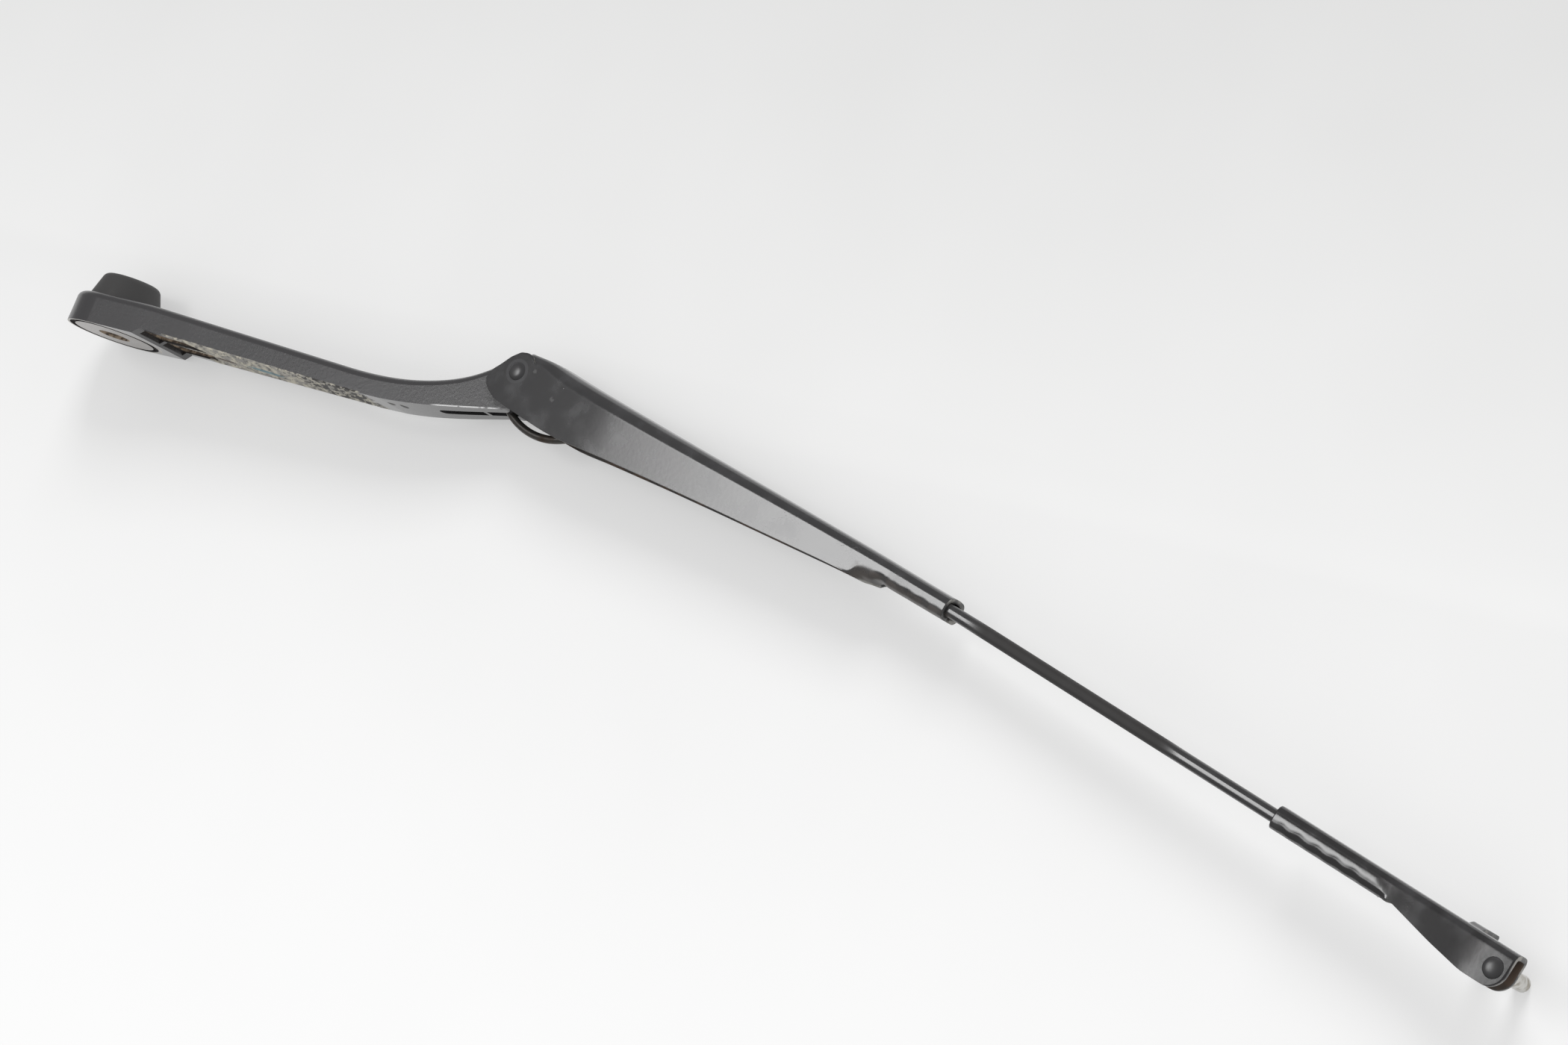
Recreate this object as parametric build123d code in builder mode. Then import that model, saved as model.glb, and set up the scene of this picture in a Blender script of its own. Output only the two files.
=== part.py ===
"""Wiper arm with a side pin: cast head, spring-loaded folded channel, flat rod and tip sleeve.

Millimetres. The origin is on the spindle axis in the plane of the head's bottom rim. +X runs to the tip, +Z is up
and the side pin points along +Y.
"""

import os
from math import atan2, cos, degrees, radians, sin, sqrt

from build123d import *

# Head: disc, neck and lug
disc_radius = 16.0
disc_top = 10.6
wall_draft = 4.0
head_edge_round = 2.4
rim_reach = 19.0
rim_step = 1.9
rim_step_run = 2.5
belly_x = 108.0
belly_z = -1.0
waist_x = 100.0
waist_z = 6.6
neck_half_width = 5.6
crest_bend_radius = 150.0
crest_bend_x = 22.0
# Neck's top line, as offsets from the pivot
neck_low_x = -31.8
neck_low_z = -8.2
neck_mid_x = -16.3
neck_mid_z = -2.5
neck_high_x = -8.8
neck_high_z = 2.3

# Pivot lug: fork with two cheeks
pivot_x = 163.8
pivot_z = 16.9
lug_radius = 6.2
cheek_half_width = 6.4
cheek_length = 13.3
fork_width = 3.6
fork_length = 10.6
recess_length = 15.0
recess_wall = 1.2
recess_top = 6.5
lug_top_angle = 115.0
lug_foot_slope = 9.0

# Spindle seat and the underside of the disc
bore_radius = 5.0
nut_seat_z = 7.4
nut_recess_radius = 9.0
rim_wall = 0.9
rim_groove_width = 1.8
rim_groove_depth = 1.2
pocket_start = 20.0
pocket_end = 41.0
pocket_top = 6.0
pocket_wall = 3.2
pocket_rib = 1.6
pocket_slant = 3.0

# Cap over the nut
cap_base_radius = 12.0
cap_top_radius = 9.2
cap_height = 8.3
cap_wall = 1.5
cap_edge_round = 2.3
cap_spigot_depth = 1.6
cap_spigot_wall = 1.2

# Pivot rivet and its bushes
rivet_radius = 2.2
rivet_head_radius = 2.6
rivet_head_height = 1.0
bush_wall = 0.9
bush_flange_radius = 4.6
bush_flange = 0.35
running_clearance = 0.04

# Anchor pin, link and spring
anchor_offset_x = -2.8
anchor_offset_z = -7.9
anchor_radius = 1.75
anchor_boss_radius = 4.1
link_wire_radius = 1.25
link_reach = 26.0
link_bow_radius = 24.0
link_play = 0.1
link_hook_start = 55.0
link_hook_sweep = 175.0
spring_wire_radius = 0.75
spring_outer_radius = 4.1
spring_bore_radius = 2.2
spring_pitch = 2.6
spring_ridge = 0.6
spring_leg_radius = 3.15
spring_leg_seat = 0.2
spring_loop_length = 8.0
spring_tail_length = 10.0
spring_hook_bend = 1.6
spring_hook_rise = 1.3

# Folded channel, measured along and across its own pitch from the pivot
arm_pitch = 14.3
sheet = 1.4
bend_radius = 3.0
hinge_half_width = 8.2
tube_half_width = 5.3
channel_top = 9.0
crown_start = 3.8
crown_drop = 1.0
crown_end = 13.0
tube_start = 148.0
tube_end = 169.5
ear_radius = 6.2
ear_toe_x = -4.2
ear_toe_z = -6.2
ear_toe_radius = 4.7
foot_start_z = -10.95
foot_low_x = 22.0
foot_low_z = -11.6
foot_round = 60.0
foot_mid_x = 60.0
foot_mid_z = -7.65
foot_end_x = 138.0
foot_end_z = -1.75
curl_end_x = 147.0
curl_end_z = -0.7
seam_gap = 1.6
tube_crown = 1.7

# Flat rod
rod_width = 7.8
rod_thickness = 3.9
rod_edge_round = 1.6
rod_inner_end = 113.5
rod_hole_radius = 1.8
hook_play = 0.35
spring_anchor_x = 120.0
rod_bend = 1.6
rod_bend_radius = 250.0

# Tip sleeve, measured along and across its own pitch from the rod's bend
sleeve_start = 113.0
crimp_length = 37.5
sleeve_end = 193.8
sleeve_crown = 0.15
tip_half_width = 4.05
tip_bend_radius = 2.2
flare_end = 172.0
flare_start_z = -2.1
flare_knee_x = 168.6
flare_knee_z = -6.1
flare_low_x = 179.5
pin_x = 187.2
pin_z = -2.9
tip_round = 5.2
strap_x = 170.8
strap_width = 4.5
strap_reach = 14.1
strap_rise = 1.0
strap_drop = 6.0
strap_bend_radius = 2.2

# Side pin
pin_radius = 2.3
pin_shank_radius = 1.9
pin_reach = 20.0
pin_end_chamfer = 0.6
pin_head_radius = 2.7
pin_head_height = 1.0

# Directions of the two pitched frames
arm_along = Vector(cos(radians(arm_pitch)), 0, -sin(radians(arm_pitch)))
arm_up = Vector(sin(radians(arm_pitch)), 0, cos(radians(arm_pitch)))
tip_pitch = arm_pitch + rod_bend
tip_along = Vector(cos(radians(tip_pitch)), 0, -sin(radians(tip_pitch)))
tip_up = Vector(sin(radians(tip_pitch)), 0, cos(radians(tip_pitch)))
across = Vector(0, 1, 0)
toward_viewer = Vector(0, -1, 0)
pivot = Vector(pivot_x, 0, pivot_z)

# Heights of the rod in the tube and where the rod's bend ends
tube_bottom = channel_top - rod_thickness - 2 * sheet - tube_crown
rod_mid = tube_bottom + sheet + rod_thickness / 2
bend_run = rod_bend_radius * sin(radians(rod_bend))
bend_drop = rod_bend_radius * (1 - cos(radians(rod_bend)))
tip_origin = pivot + arm_along * (tube_end + bend_run) + arm_up * (rod_mid - bend_drop)
sleeve_top = rod_thickness / 2 + sheet + sleeve_crown
sleeve_bottom = -rod_thickness / 2 - sheet

# Points of the spring linkage in the head's XZ plane
anchor = Vector(pivot_x + anchor_offset_x, 0, pivot_z + anchor_offset_z)
spring_end = pivot + arm_along * spring_anchor_x + arm_up * rod_mid
pull = (spring_end - anchor).normalized()
pull_up = Vector(-pull.Z, 0, pull.X)
joint_point = anchor + pull * link_reach
spring_length = (spring_end - joint_point).length

# Planes that the pieces are drawn on
arm_side = Plane(origin=pivot, x_dir=arm_along, z_dir=toward_viewer)
tip_side = Plane(origin=tip_origin, x_dir=tip_along, z_dir=toward_viewer)
spring_side = Plane(origin=joint_point, x_dir=pull, z_dir=toward_viewer)
spring_flat = Plane(origin=joint_point, x_dir=pull, z_dir=pull_up)
pivot_axis = Axis(pivot, across)
fork_start = pivot_x - fork_length


def arm_section(station: float) -> Plane:
    """Plane square to the channel at a station from the pivot, with local x along +Y."""
    return Plane(origin=pivot + arm_along * station, x_dir=across, z_dir=arm_along)


def tip_section(station: float) -> Plane:
    """Plane square to the tip sleeve at a station from the rod's bend, with local x along +Y."""
    return Plane(origin=tip_origin + tip_along * station, x_dir=across, z_dir=tip_along)


def folded_u(plane: Plane, half_width: float, top: float, foot: float, bend: float) -> Sketch:
    """U of sheet metal, open downwards, with its walls reaching down to foot."""
    inner = half_width - sheet
    inner_bend = bend - sheet
    shoulder = top - bend
    with BuildSketch(plane) as section:
        with BuildLine():
            Polyline((-half_width + bend, top), (half_width - bend, top))
            CenterArc((half_width - bend, shoulder), bend, 0, 90)
            Polyline((half_width, shoulder), (half_width, foot), (inner, foot), (inner, shoulder))
            CenterArc((inner - inner_bend, shoulder), inner_bend, 0, 90)
            Line((inner - inner_bend, top - sheet), (inner_bend - inner, top - sheet))
            CenterArc((inner_bend - inner, shoulder), inner_bend, 90, 90)
            Polyline((-inner, shoulder), (-inner, foot), (-half_width, foot), (-half_width, shoulder))
            CenterArc((bend - half_width, shoulder), bend, 90, 90)
        make_face()
    return section.sketch


def crimped_tube(plane: Plane, half_width: float, top: float, bottom: float, bend: float) -> Sketch:
    """Closed fold of sheet metal with a seam along the middle of its bottom."""
    mid = (top + bottom) / 2
    height = top - bottom
    with BuildSketch(plane) as section:
        with Locations((0, mid)):
            RectangleRounded(2 * half_width, height, bend)
            RectangleRounded(2 * (half_width - sheet), height - 2 * sheet, bend - sheet, mode=Mode.SUBTRACT)
        with Locations((0, bottom)):
            Rectangle(seam_gap, 2 * sheet, mode=Mode.SUBTRACT)
    return section.sketch


# Cast head: plan with drafted walls, cut to the side outline
with BuildPart() as mounting_head:
    with BuildSketch(Plane.XY.offset(belly_z)):
        Circle(disc_radius)
        with Locations((pivot_x, 0)):
            Circle(neck_half_width)
        make_hull()
    extrude(amount=pivot_z + lug_radius - belly_z, taper=wall_draft)
    outline_left = -disc_radius - rim_wall
    step_end = rim_reach + rim_step_run
    foot_slope = radians(lug_foot_slope)
    lug_foot = anchor + Vector(sin(foot_slope), 0, -cos(foot_slope)) * anchor_boss_radius
    crest = radians(lug_top_angle)
    lug_crest = pivot + Vector(cos(crest), 0, sin(crest)) * lug_radius
    belly_slope = (belly_z - rim_step) / (belly_x - step_end)
    crest_slope = (waist_z - disc_top) / (waist_x - crest_bend_x)
    with BuildSketch(Plane.XZ):
        with BuildLine():
            Polyline((outline_left, 0), (rim_reach, 0), (step_end, rim_step), (belly_x, belly_z))
            Spline(
                (belly_x, belly_z),
                (lug_foot.X, lug_foot.Z),
                tangents=((1, belly_slope), (cos(foot_slope), sin(foot_slope))),
            )
            Line((lug_foot.X, lug_foot.Z), (lug_crest.X, lug_crest.Z))
            Spline(
                (waist_x, waist_z),
                (pivot_x + neck_low_x, pivot_z + neck_low_z),
                (pivot_x + neck_mid_x, pivot_z + neck_mid_z),
                (pivot_x + neck_high_x, pivot_z + neck_high_z),
                (lug_crest.X, lug_crest.Z),
                tangents=((1, crest_slope), (sin(crest), -cos(crest))),
            )
            FilletPolyline(
                (outline_left, disc_top),
                (crest_bend_x, disc_top),
                (waist_x, waist_z),
                radius=crest_bend_radius,
            )
            Line((outline_left, disc_top), (outline_left, 0))
        make_face()
    extrude(amount=2 * disc_radius, both=True, mode=Mode.INTERSECT)
    crown_faces = mounting_head.faces().filter_by(lambda face: face.normal_at().Z > 0.5)
    fillet(crown_faces.edges().filter_by(Axis.Y, reverse=True), head_edge_round)
    # Flat cheeks and the rounded lug
    with BuildSketch(Plane.XY.offset(belly_z)):
        for side in (-1, 1):
            with Locations((pivot_x, side * (cheek_half_width + disc_radius / 2))):
                Rectangle(2 * cheek_length, disc_radius)
    extrude(amount=pivot_z + 2 * lug_radius, mode=Mode.SUBTRACT)
    with BuildSketch(Plane.XZ):
        with Locations((pivot.X, pivot.Z)):
            Circle(lug_radius)
        with Locations((anchor.X, anchor.Z)):
            Circle(anchor_boss_radius)
        make_hull()
    extrude(amount=cheek_half_width, both=True)
    # Fork for the link, and the shallow recess ahead of it
    with BuildSketch(Plane.XZ):
        with Locations((fork_start + fork_length, pivot_z)):
            Rectangle(2 * fork_length, 4 * fork_length)
    extrude(amount=fork_width / 2, both=True, mode=Mode.SUBTRACT)
    with BuildSketch(Plane.XY.offset(recess_top)):
        recess_end = fork_start - recess_wall
        with BuildLine():
            Line((recess_end, -fork_width / 2), (recess_end, fork_width / 2))
            Line((recess_end, fork_width / 2), (recess_end - recess_length, fork_width / 2))
            CenterArc((recess_end - recess_length, 0), fork_width / 2, 90, 180)
            Line((recess_end - recess_length, -fork_width / 2), (recess_end, -fork_width / 2))
        make_face()
    extrude(amount=belly_z - recess_top, mode=Mode.SUBTRACT)
    # Bores for the bushes and the anchor pin
    with BuildSketch(Plane.XZ):
        with Locations((pivot.X, pivot.Z)):
            Circle(rivet_radius + running_clearance + bush_wall)
        with Locations((anchor.X, anchor.Z)):
            Circle(anchor_radius)
    extrude(amount=2 * cheek_half_width, both=True, mode=Mode.SUBTRACT)
    # Spindle bore, nut recess and the ring groove of the underside
    with BuildSketch(Plane.XZ):
        with BuildLine():
            Polyline(
                (0, 0),
                (bore_radius, 0),
                (bore_radius, nut_seat_z),
                (nut_recess_radius, nut_seat_z),
                (nut_recess_radius, disc_top),
                (0, disc_top),
                close=True,
            )
        make_face()
        with Locations((disc_radius - rim_wall - rim_groove_width / 2, rim_groove_depth / 2)):
            Rectangle(rim_groove_width, rim_groove_depth)
    revolve(axis=Axis.Z, mode=Mode.SUBTRACT)
    # Two pockets behind the disc with a rib between them
    with BuildSketch(Plane.XY.offset(pocket_top)):
        narrowing = (disc_radius - neck_half_width) / pivot_x
        for side in (-1, 1):
            with BuildLine():
                Polyline(
                    (pocket_start, side * pocket_rib / 2),
                    (pocket_start, side * (disc_radius - pocket_wall - narrowing * pocket_start)),
                    (pocket_end - pocket_slant, side * (disc_radius - pocket_wall - narrowing * pocket_end)),
                    (pocket_end, side * pocket_rib / 2),
                    close=True,
                )
            make_face()
    extrude(amount=belly_z - pocket_top, mode=Mode.SUBTRACT)
mounting_head.part.label = "mounting_head"

# Cap over the nut, with a spigot in the nut recess
with BuildPart() as nut_cap:
    cap_top = disc_top + cap_height
    spigot_inner = nut_recess_radius - cap_spigot_wall
    with BuildSketch(Plane.XZ):
        with BuildLine():
            Polyline(
                (0, cap_top),
                (cap_top_radius, cap_top),
                (cap_base_radius, disc_top),
                (nut_recess_radius, disc_top),
                (nut_recess_radius, disc_top - cap_spigot_depth),
                (spigot_inner, disc_top - cap_spigot_depth),
                (spigot_inner, cap_top - cap_wall),
                (0, cap_top - cap_wall),
                close=True,
            )
        make_face()
    revolve(axis=Axis.Z)
    fillet(nut_cap.edges().group_by(Axis.Z)[-1], cap_edge_round)
nut_cap.part.label = "nut_cap"

# Flanged bushes in the two cheeks
with BuildPart() as pivot_bushes:
    bush_inner = rivet_radius + running_clearance
    bush_outer = bush_inner + bush_wall
    with BuildSketch(Plane(origin=pivot, x_dir=(1, 0, 0), z_dir=(0, 0, 1))):
        for side in (-1, 1):
            with BuildLine():
                Polyline(
                    (bush_inner, side * fork_width / 2),
                    (bush_outer, side * fork_width / 2),
                    (bush_outer, side * cheek_half_width),
                    (bush_flange_radius, side * cheek_half_width),
                    (bush_flange_radius, side * (cheek_half_width + bush_flange)),
                    (bush_inner, side * (cheek_half_width + bush_flange)),
                    close=True,
                )
            make_face()
    revolve(axis=pivot_axis)
pivot_bushes.part.label = "pivot_bushes"

# Pivot rivet with a low dome on each ear
with BuildPart() as pivot_rivet:
    with BuildSketch(Plane(origin=pivot, x_dir=(1, 0, 0), z_dir=(0, 0, 1))):
        with BuildLine():
            for side in (-1, 1):
                ear_face = side * hinge_half_width
                Polyline((rivet_radius, 0), (rivet_radius, ear_face), (rivet_head_radius, ear_face))
                RadiusArc(
                    (rivet_head_radius, ear_face),
                    (0, ear_face + side * rivet_head_height),
                    -side * (rivet_head_radius**2 + rivet_head_height**2) / (2 * rivet_head_height),
                )
            Line((0, -hinge_half_width - rivet_head_height), (0, hinge_half_width + rivet_head_height))
        make_face()
    revolve(axis=pivot_axis)
pivot_rivet.part.label = "pivot_rivet"

# Cross pin that the link hooks on
with BuildPart() as link_anchor_pin:
    with BuildSketch(Plane.XZ):
        with Locations((anchor.X, anchor.Z)):
            Circle(anchor_radius)
    extrude(amount=cheek_half_width, both=True)
link_anchor_pin.part.label = "link_anchor_pin"

# C-shaped wire link: a hook round the anchor pin, a bow below the pivot, a hook round the spring's loop
with BuildPart() as spring_link:
    anchor_hook = anchor_radius + link_wire_radius + link_play
    spring_hook = spring_wire_radius + link_wire_radius + link_play
    to_anchor = link_bow_radius - anchor_hook
    to_joint = link_bow_radius - spring_hook
    bow_foot = (to_anchor**2 - to_joint**2 + link_reach**2) / (2 * link_reach)
    bow_centre = anchor + pull * bow_foot + pull_up * sqrt(to_anchor**2 - bow_foot**2)
    bow_start = degrees(atan2(anchor.Z - bow_centre.Z, anchor.X - bow_centre.X)) % 360
    bow_stop = degrees(atan2(joint_point.Z - bow_centre.Z, joint_point.X - bow_centre.X)) % 360
    with BuildLine(Plane.XZ) as link_path:
        CenterArc((anchor.X, anchor.Z), anchor_hook, link_hook_start, bow_start - link_hook_start)
        CenterArc((bow_centre.X, bow_centre.Z), link_bow_radius, bow_start, bow_stop - bow_start)
        CenterArc((joint_point.X, joint_point.Z), spring_hook, bow_stop, link_hook_sweep)
    with BuildSketch(Plane(origin=link_path.line @ 0, z_dir=link_path.line % 0)):
        Circle(link_wire_radius)
    sweep(path=link_path.line)
spring_link.part.label = "spring_link"

# Tension spring: ridged coil, loop at the link, hook in the rod's hole
with BuildPart() as tension_spring:
    coil_length = spring_length - spring_loop_length - spring_tail_length
    turns = int(coil_length / spring_pitch)
    coil_end = spring_loop_length + turns * spring_pitch
    ridge_points = [(spring_loop_length, spring_bore_radius), (spring_loop_length, spring_outer_radius)]
    for turn in range(turns):
        if turn:
            ridge_points.append((spring_loop_length + turn * spring_pitch, spring_outer_radius))
        ridge_points.append(
            (spring_loop_length + (turn + 0.5) * spring_pitch, spring_outer_radius - spring_ridge)
        )
    ridge_points.append((coil_end, spring_outer_radius))
    ridge_points.append((coil_end, spring_bore_radius))
    with BuildSketch(spring_side):
        with BuildLine():
            Polyline(*ridge_points, close=True)
        make_face()
    revolve(axis=Axis(joint_point, pull))
    with BuildLine(spring_flat) as loop_path:
        leg_end = spring_loop_length + spring_leg_seat
        Line((leg_end, spring_leg_radius), (spring_leg_radius, spring_leg_radius))
        CenterArc((spring_leg_radius, 0), spring_leg_radius, 90, 180)
        Line((spring_leg_radius, -spring_leg_radius), (leg_end, -spring_leg_radius))
    with BuildSketch(Plane(origin=loop_path.line @ 0, z_dir=loop_path.line % 0)):
        Circle(spring_wire_radius)
    sweep(path=loop_path.line)
    with BuildLine(spring_side) as hook_path:
        hook_turn = spring_length - spring_hook_bend
        hook_knee = spring_hook_bend - spring_leg_radius
        Line((coil_end - spring_leg_seat, -spring_leg_radius), (hook_turn, -spring_leg_radius))
        CenterArc((hook_turn, hook_knee), spring_hook_bend, -90, 90)
        Line((spring_length, hook_knee), (spring_length, spring_hook_rise))
    with BuildSketch(Plane(origin=hook_path.line @ 0, z_dir=hook_path.line % 0)):
        Circle(spring_wire_radius)
    sweep(path=hook_path.line)
tension_spring.part.label = "tension_spring"

# Folded channel with ears at the pivot and a crimped tube at the rod
with BuildPart() as arm_channel:
    wall_foot = foot_low_z - sheet
    loft(
        [
            folded_u(arm_section(crown_start), hinge_half_width, channel_top - crown_drop, wall_foot, bend_radius),
            folded_u(arm_section(crown_end), hinge_half_width, channel_top, wall_foot, bend_radius),
            folded_u(arm_section(tube_start), tube_half_width, channel_top, wall_foot, bend_radius),
        ],
        ruled=True,
    )
    with BuildSketch(arm_side.offset(hinge_half_width - sheet)):
        Circle(ear_radius)
        with Locations((ear_toe_x, ear_toe_z)):
            Circle(ear_toe_radius)
        make_hull()
        with BuildLine():
            Polyline(
                (0, 0),
                (0, ear_radius),
                (crown_start, channel_top - crown_drop - bend_radius),
                (crown_start + sheet, channel_top - crown_drop - bend_radius),
                (crown_start + sheet, foot_low_z),
                (ear_toe_x, foot_start_z),
                close=True,
            )
        make_face()
    extrude(amount=sheet)
    mirror(about=Plane.XZ)
    # Lower edge of the side walls
    with BuildSketch(arm_side) as foot_cut:
        with BuildLine():
            Polyline(
                (2 * ear_toe_x - ear_toe_radius, foot_start_z),
                (0, foot_start_z),
                (foot_low_x, foot_low_z),
                (foot_mid_x, foot_mid_z),
                (foot_end_x, foot_end_z),
                (curl_end_x, curl_end_z),
                (tube_start, tube_bottom),
                (tube_end, tube_bottom),
                (tube_end, 2 * foot_low_z),
                (2 * ear_toe_x - ear_toe_radius, 2 * foot_low_z),
                close=True,
            )
        make_face()
        fillet(foot_cut.vertices().sort_by_distance((foot_low_x, foot_low_z))[0], foot_round)
    extrude(amount=2 * hinge_half_width, both=True, mode=Mode.SUBTRACT)
    tube_section = crimped_tube(arm_section(tube_start), tube_half_width, channel_top, tube_bottom, bend_radius)
    extrude(tube_section, amount=tube_end - tube_start)
    # Rivet holes in the ears
    with BuildSketch(arm_side):
        Circle(rivet_radius)
    extrude(amount=2 * hinge_half_width, both=True, mode=Mode.SUBTRACT)
arm_channel.part.label = "arm_channel"

# Flat rod from inside the channel to inside the tip sleeve
with BuildPart() as blade_rod:
    lower = radians(rod_bend)
    with BuildLine(arm_side) as rod_path:
        Line((rod_inner_end, rod_mid), (tube_end, rod_mid))
        JernArc(start=(tube_end, rod_mid), tangent=(1, 0), radius=rod_bend_radius, arc_size=-rod_bend)
        run = sleeve_start + crimp_length
        low_start = (tube_end + bend_run, rod_mid - bend_drop)
        Line(low_start, (low_start[0] + run * cos(lower), low_start[1] - run * sin(lower)))
    with BuildSketch(arm_section(rod_inner_end)):
        with Locations((0, rod_mid)):
            RectangleRounded(rod_width, rod_thickness, rod_edge_round)
    sweep(path=rod_path.line)
    hole_shift = rod_hole_radius - spring_wire_radius - hook_play
    with BuildSketch(Plane(origin=pivot, x_dir=arm_along, z_dir=arm_up)):
        with Locations((spring_anchor_x + hole_shift, 0)):
            Circle(rod_hole_radius)
    extrude(amount=channel_top, mode=Mode.SUBTRACT)
blade_rod.part.label = "blade_rod"

# Tip sleeve: crimped tube, flare to a U, locking strap
with BuildPart() as tip_sleeve:
    crimp_end = sleeve_start + crimp_length
    tip_foot = pin_z - tip_round - sheet
    loft(
        [
            folded_u(tip_section(crimp_end), tube_half_width, sleeve_top, tip_foot, tip_bend_radius),
            folded_u(tip_section(flare_end), tip_half_width, sleeve_top, tip_foot, tip_bend_radius),
        ],
        ruled=True,
    )
    tip_u = folded_u(tip_section(flare_end), tip_half_width, sleeve_top, tip_foot, tip_bend_radius)
    extrude(tip_u, amount=sleeve_end - flare_end)
    # Lower edge of the flare and the round of the tip
    tip_low = pin_z - tip_round
    with BuildSketch(tip_side):
        with BuildLine():
            Polyline(
                (crimp_end - sheet, flare_start_z),
                (crimp_end + sheet, flare_start_z),
                (flare_knee_x, flare_knee_z),
                (flare_low_x, tip_low),
                (sleeve_end - tip_round, tip_low),
            )
            CenterArc((sleeve_end - tip_round, pin_z), tip_round, -90, 90)
            Polyline(
                (sleeve_end, pin_z),
                (sleeve_end + sheet, pin_z),
                (sleeve_end + sheet, 2 * tip_foot),
                (crimp_end - sheet, 2 * tip_foot),
                (crimp_end - sheet, flare_start_z),
            )
        make_face()
    extrude(amount=2 * tube_half_width, both=True, mode=Mode.SUBTRACT)
    crimp = crimped_tube(tip_section(sleeve_start), tube_half_width, sleeve_top, sleeve_bottom, tip_bend_radius)
    extrude(crimp, amount=crimp_length)
    # Locking strap over the far side
    strap_top = sleeve_top + strap_rise
    strap_under = strap_top - sheet
    with BuildSketch(tip_section(strap_x)) as strap_profile:
        with BuildLine():
            Polyline(
                (0, sleeve_top),
                (tip_half_width - tip_bend_radius, sleeve_top),
                (tip_half_width, strap_top),
                (strap_reach, strap_top),
                (strap_reach, strap_top - strap_drop),
                (strap_reach - sheet, strap_top - strap_drop),
                (strap_reach - sheet, strap_under),
                (tip_half_width + sheet / 2, strap_under),
                (tip_half_width - tip_bend_radius + sheet / 2, sleeve_top - sheet),
                (0, sleeve_top - sheet),
                close=True,
            )
        make_face()
        fillet(strap_profile.vertices().sort_by_distance((strap_reach, strap_top))[0], strap_bend_radius)
        inner_corner = (strap_reach - sheet, strap_under)
        fillet(strap_profile.vertices().sort_by_distance(inner_corner)[0], strap_bend_radius - sheet)
    extrude(amount=strap_width)
    # Holes for the side pin
    with BuildSketch(tip_side):
        with Locations((pin_x, pin_z)):
            Circle(pin_shank_radius)
    extrude(amount=2 * tip_half_width, both=True, mode=Mode.SUBTRACT)
tip_sleeve.part.label = "tip_sleeve"

# Side pin: riveted shank with a low dome on the near wall, shoulder on the far wall
with BuildPart() as side_pin:
    pin_foot = tip_origin + tip_along * pin_x + tip_up * pin_z
    head_face = -tip_half_width
    with BuildSketch(Plane(origin=pin_foot, x_dir=tip_along, z_dir=tip_up)):
        with BuildLine():
            Polyline(
                (0, head_face - pin_head_height),
                (0, pin_reach),
                (pin_radius - pin_end_chamfer, pin_reach),
                (pin_radius, pin_reach - pin_end_chamfer),
                (pin_radius, tip_half_width),
                (pin_shank_radius, tip_half_width),
                (pin_shank_radius, head_face),
                (pin_head_radius, head_face),
            )
            RadiusArc(
                (pin_head_radius, head_face),
                (0, head_face - pin_head_height),
                (pin_head_radius**2 + pin_head_height**2) / (2 * pin_head_height),
            )
        make_face()
    revolve(axis=Axis(pin_foot, across))
side_pin.part.label = "side_pin"

# One file for each piece
os.makedirs("parts", exist_ok=True)
export_step(mounting_head.part, "parts/mounting_head.step")
export_step(nut_cap.part, "parts/nut_cap.step")
export_step(pivot_bushes.part, "parts/pivot_bushes.step")
export_step(pivot_rivet.part, "parts/pivot_rivet.step")
export_step(link_anchor_pin.part, "parts/link_anchor_pin.step")
export_step(spring_link.part, "parts/spring_link.step")
export_step(tension_spring.part, "parts/tension_spring.step")
export_step(arm_channel.part, "parts/arm_channel.step")
export_step(blade_rod.part, "parts/blade_rod.step")
export_step(tip_sleeve.part, "parts/tip_sleeve.step")
export_step(side_pin.part, "parts/side_pin.step")
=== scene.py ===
"""Looks of a wiper arm with a side pin: cast head, folded channel, spring, flat rod and tip sleeve."""

import logging
import math
from collections.abc import Callable
from dataclasses import dataclass
from enum import Enum

import bmesh
import bpy
import numpy as np
from mathutils import Matrix


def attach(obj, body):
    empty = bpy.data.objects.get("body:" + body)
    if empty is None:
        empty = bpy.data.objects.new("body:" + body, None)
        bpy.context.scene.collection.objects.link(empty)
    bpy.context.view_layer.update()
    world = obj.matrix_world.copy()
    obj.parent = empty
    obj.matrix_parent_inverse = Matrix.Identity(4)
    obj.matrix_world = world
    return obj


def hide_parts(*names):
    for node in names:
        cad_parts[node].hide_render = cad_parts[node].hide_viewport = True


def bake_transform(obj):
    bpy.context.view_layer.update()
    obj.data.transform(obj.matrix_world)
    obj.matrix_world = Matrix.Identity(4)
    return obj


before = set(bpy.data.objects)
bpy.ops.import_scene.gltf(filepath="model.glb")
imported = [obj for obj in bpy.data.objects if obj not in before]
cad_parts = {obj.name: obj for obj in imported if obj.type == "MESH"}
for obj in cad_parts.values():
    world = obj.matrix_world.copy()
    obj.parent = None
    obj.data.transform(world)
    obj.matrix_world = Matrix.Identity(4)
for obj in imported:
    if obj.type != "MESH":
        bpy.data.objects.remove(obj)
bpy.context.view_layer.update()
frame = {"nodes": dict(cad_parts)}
MM = 0.001
TO_MM = 1000.0
MERGE = 2e-6
PAINT_IOR = 1.75
log = logging.getLogger("wiper_arm")

# A patch is a centre and two half sizes, and a line is the stations of its points and their heights.
Pair = tuple[float, float]
Triple = tuple[float, float, float]
Colour = tuple[float, float, float, float]
Patch = tuple[float, float, float, float]
Line = tuple[tuple[float, ...], tuple[float, ...]]
Profile = Callable[[np.ndarray], np.ndarray]


class Side(Enum):
    """The two side walls of a folded sheet."""

    FAR = 1
    NEAR = -1


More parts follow.
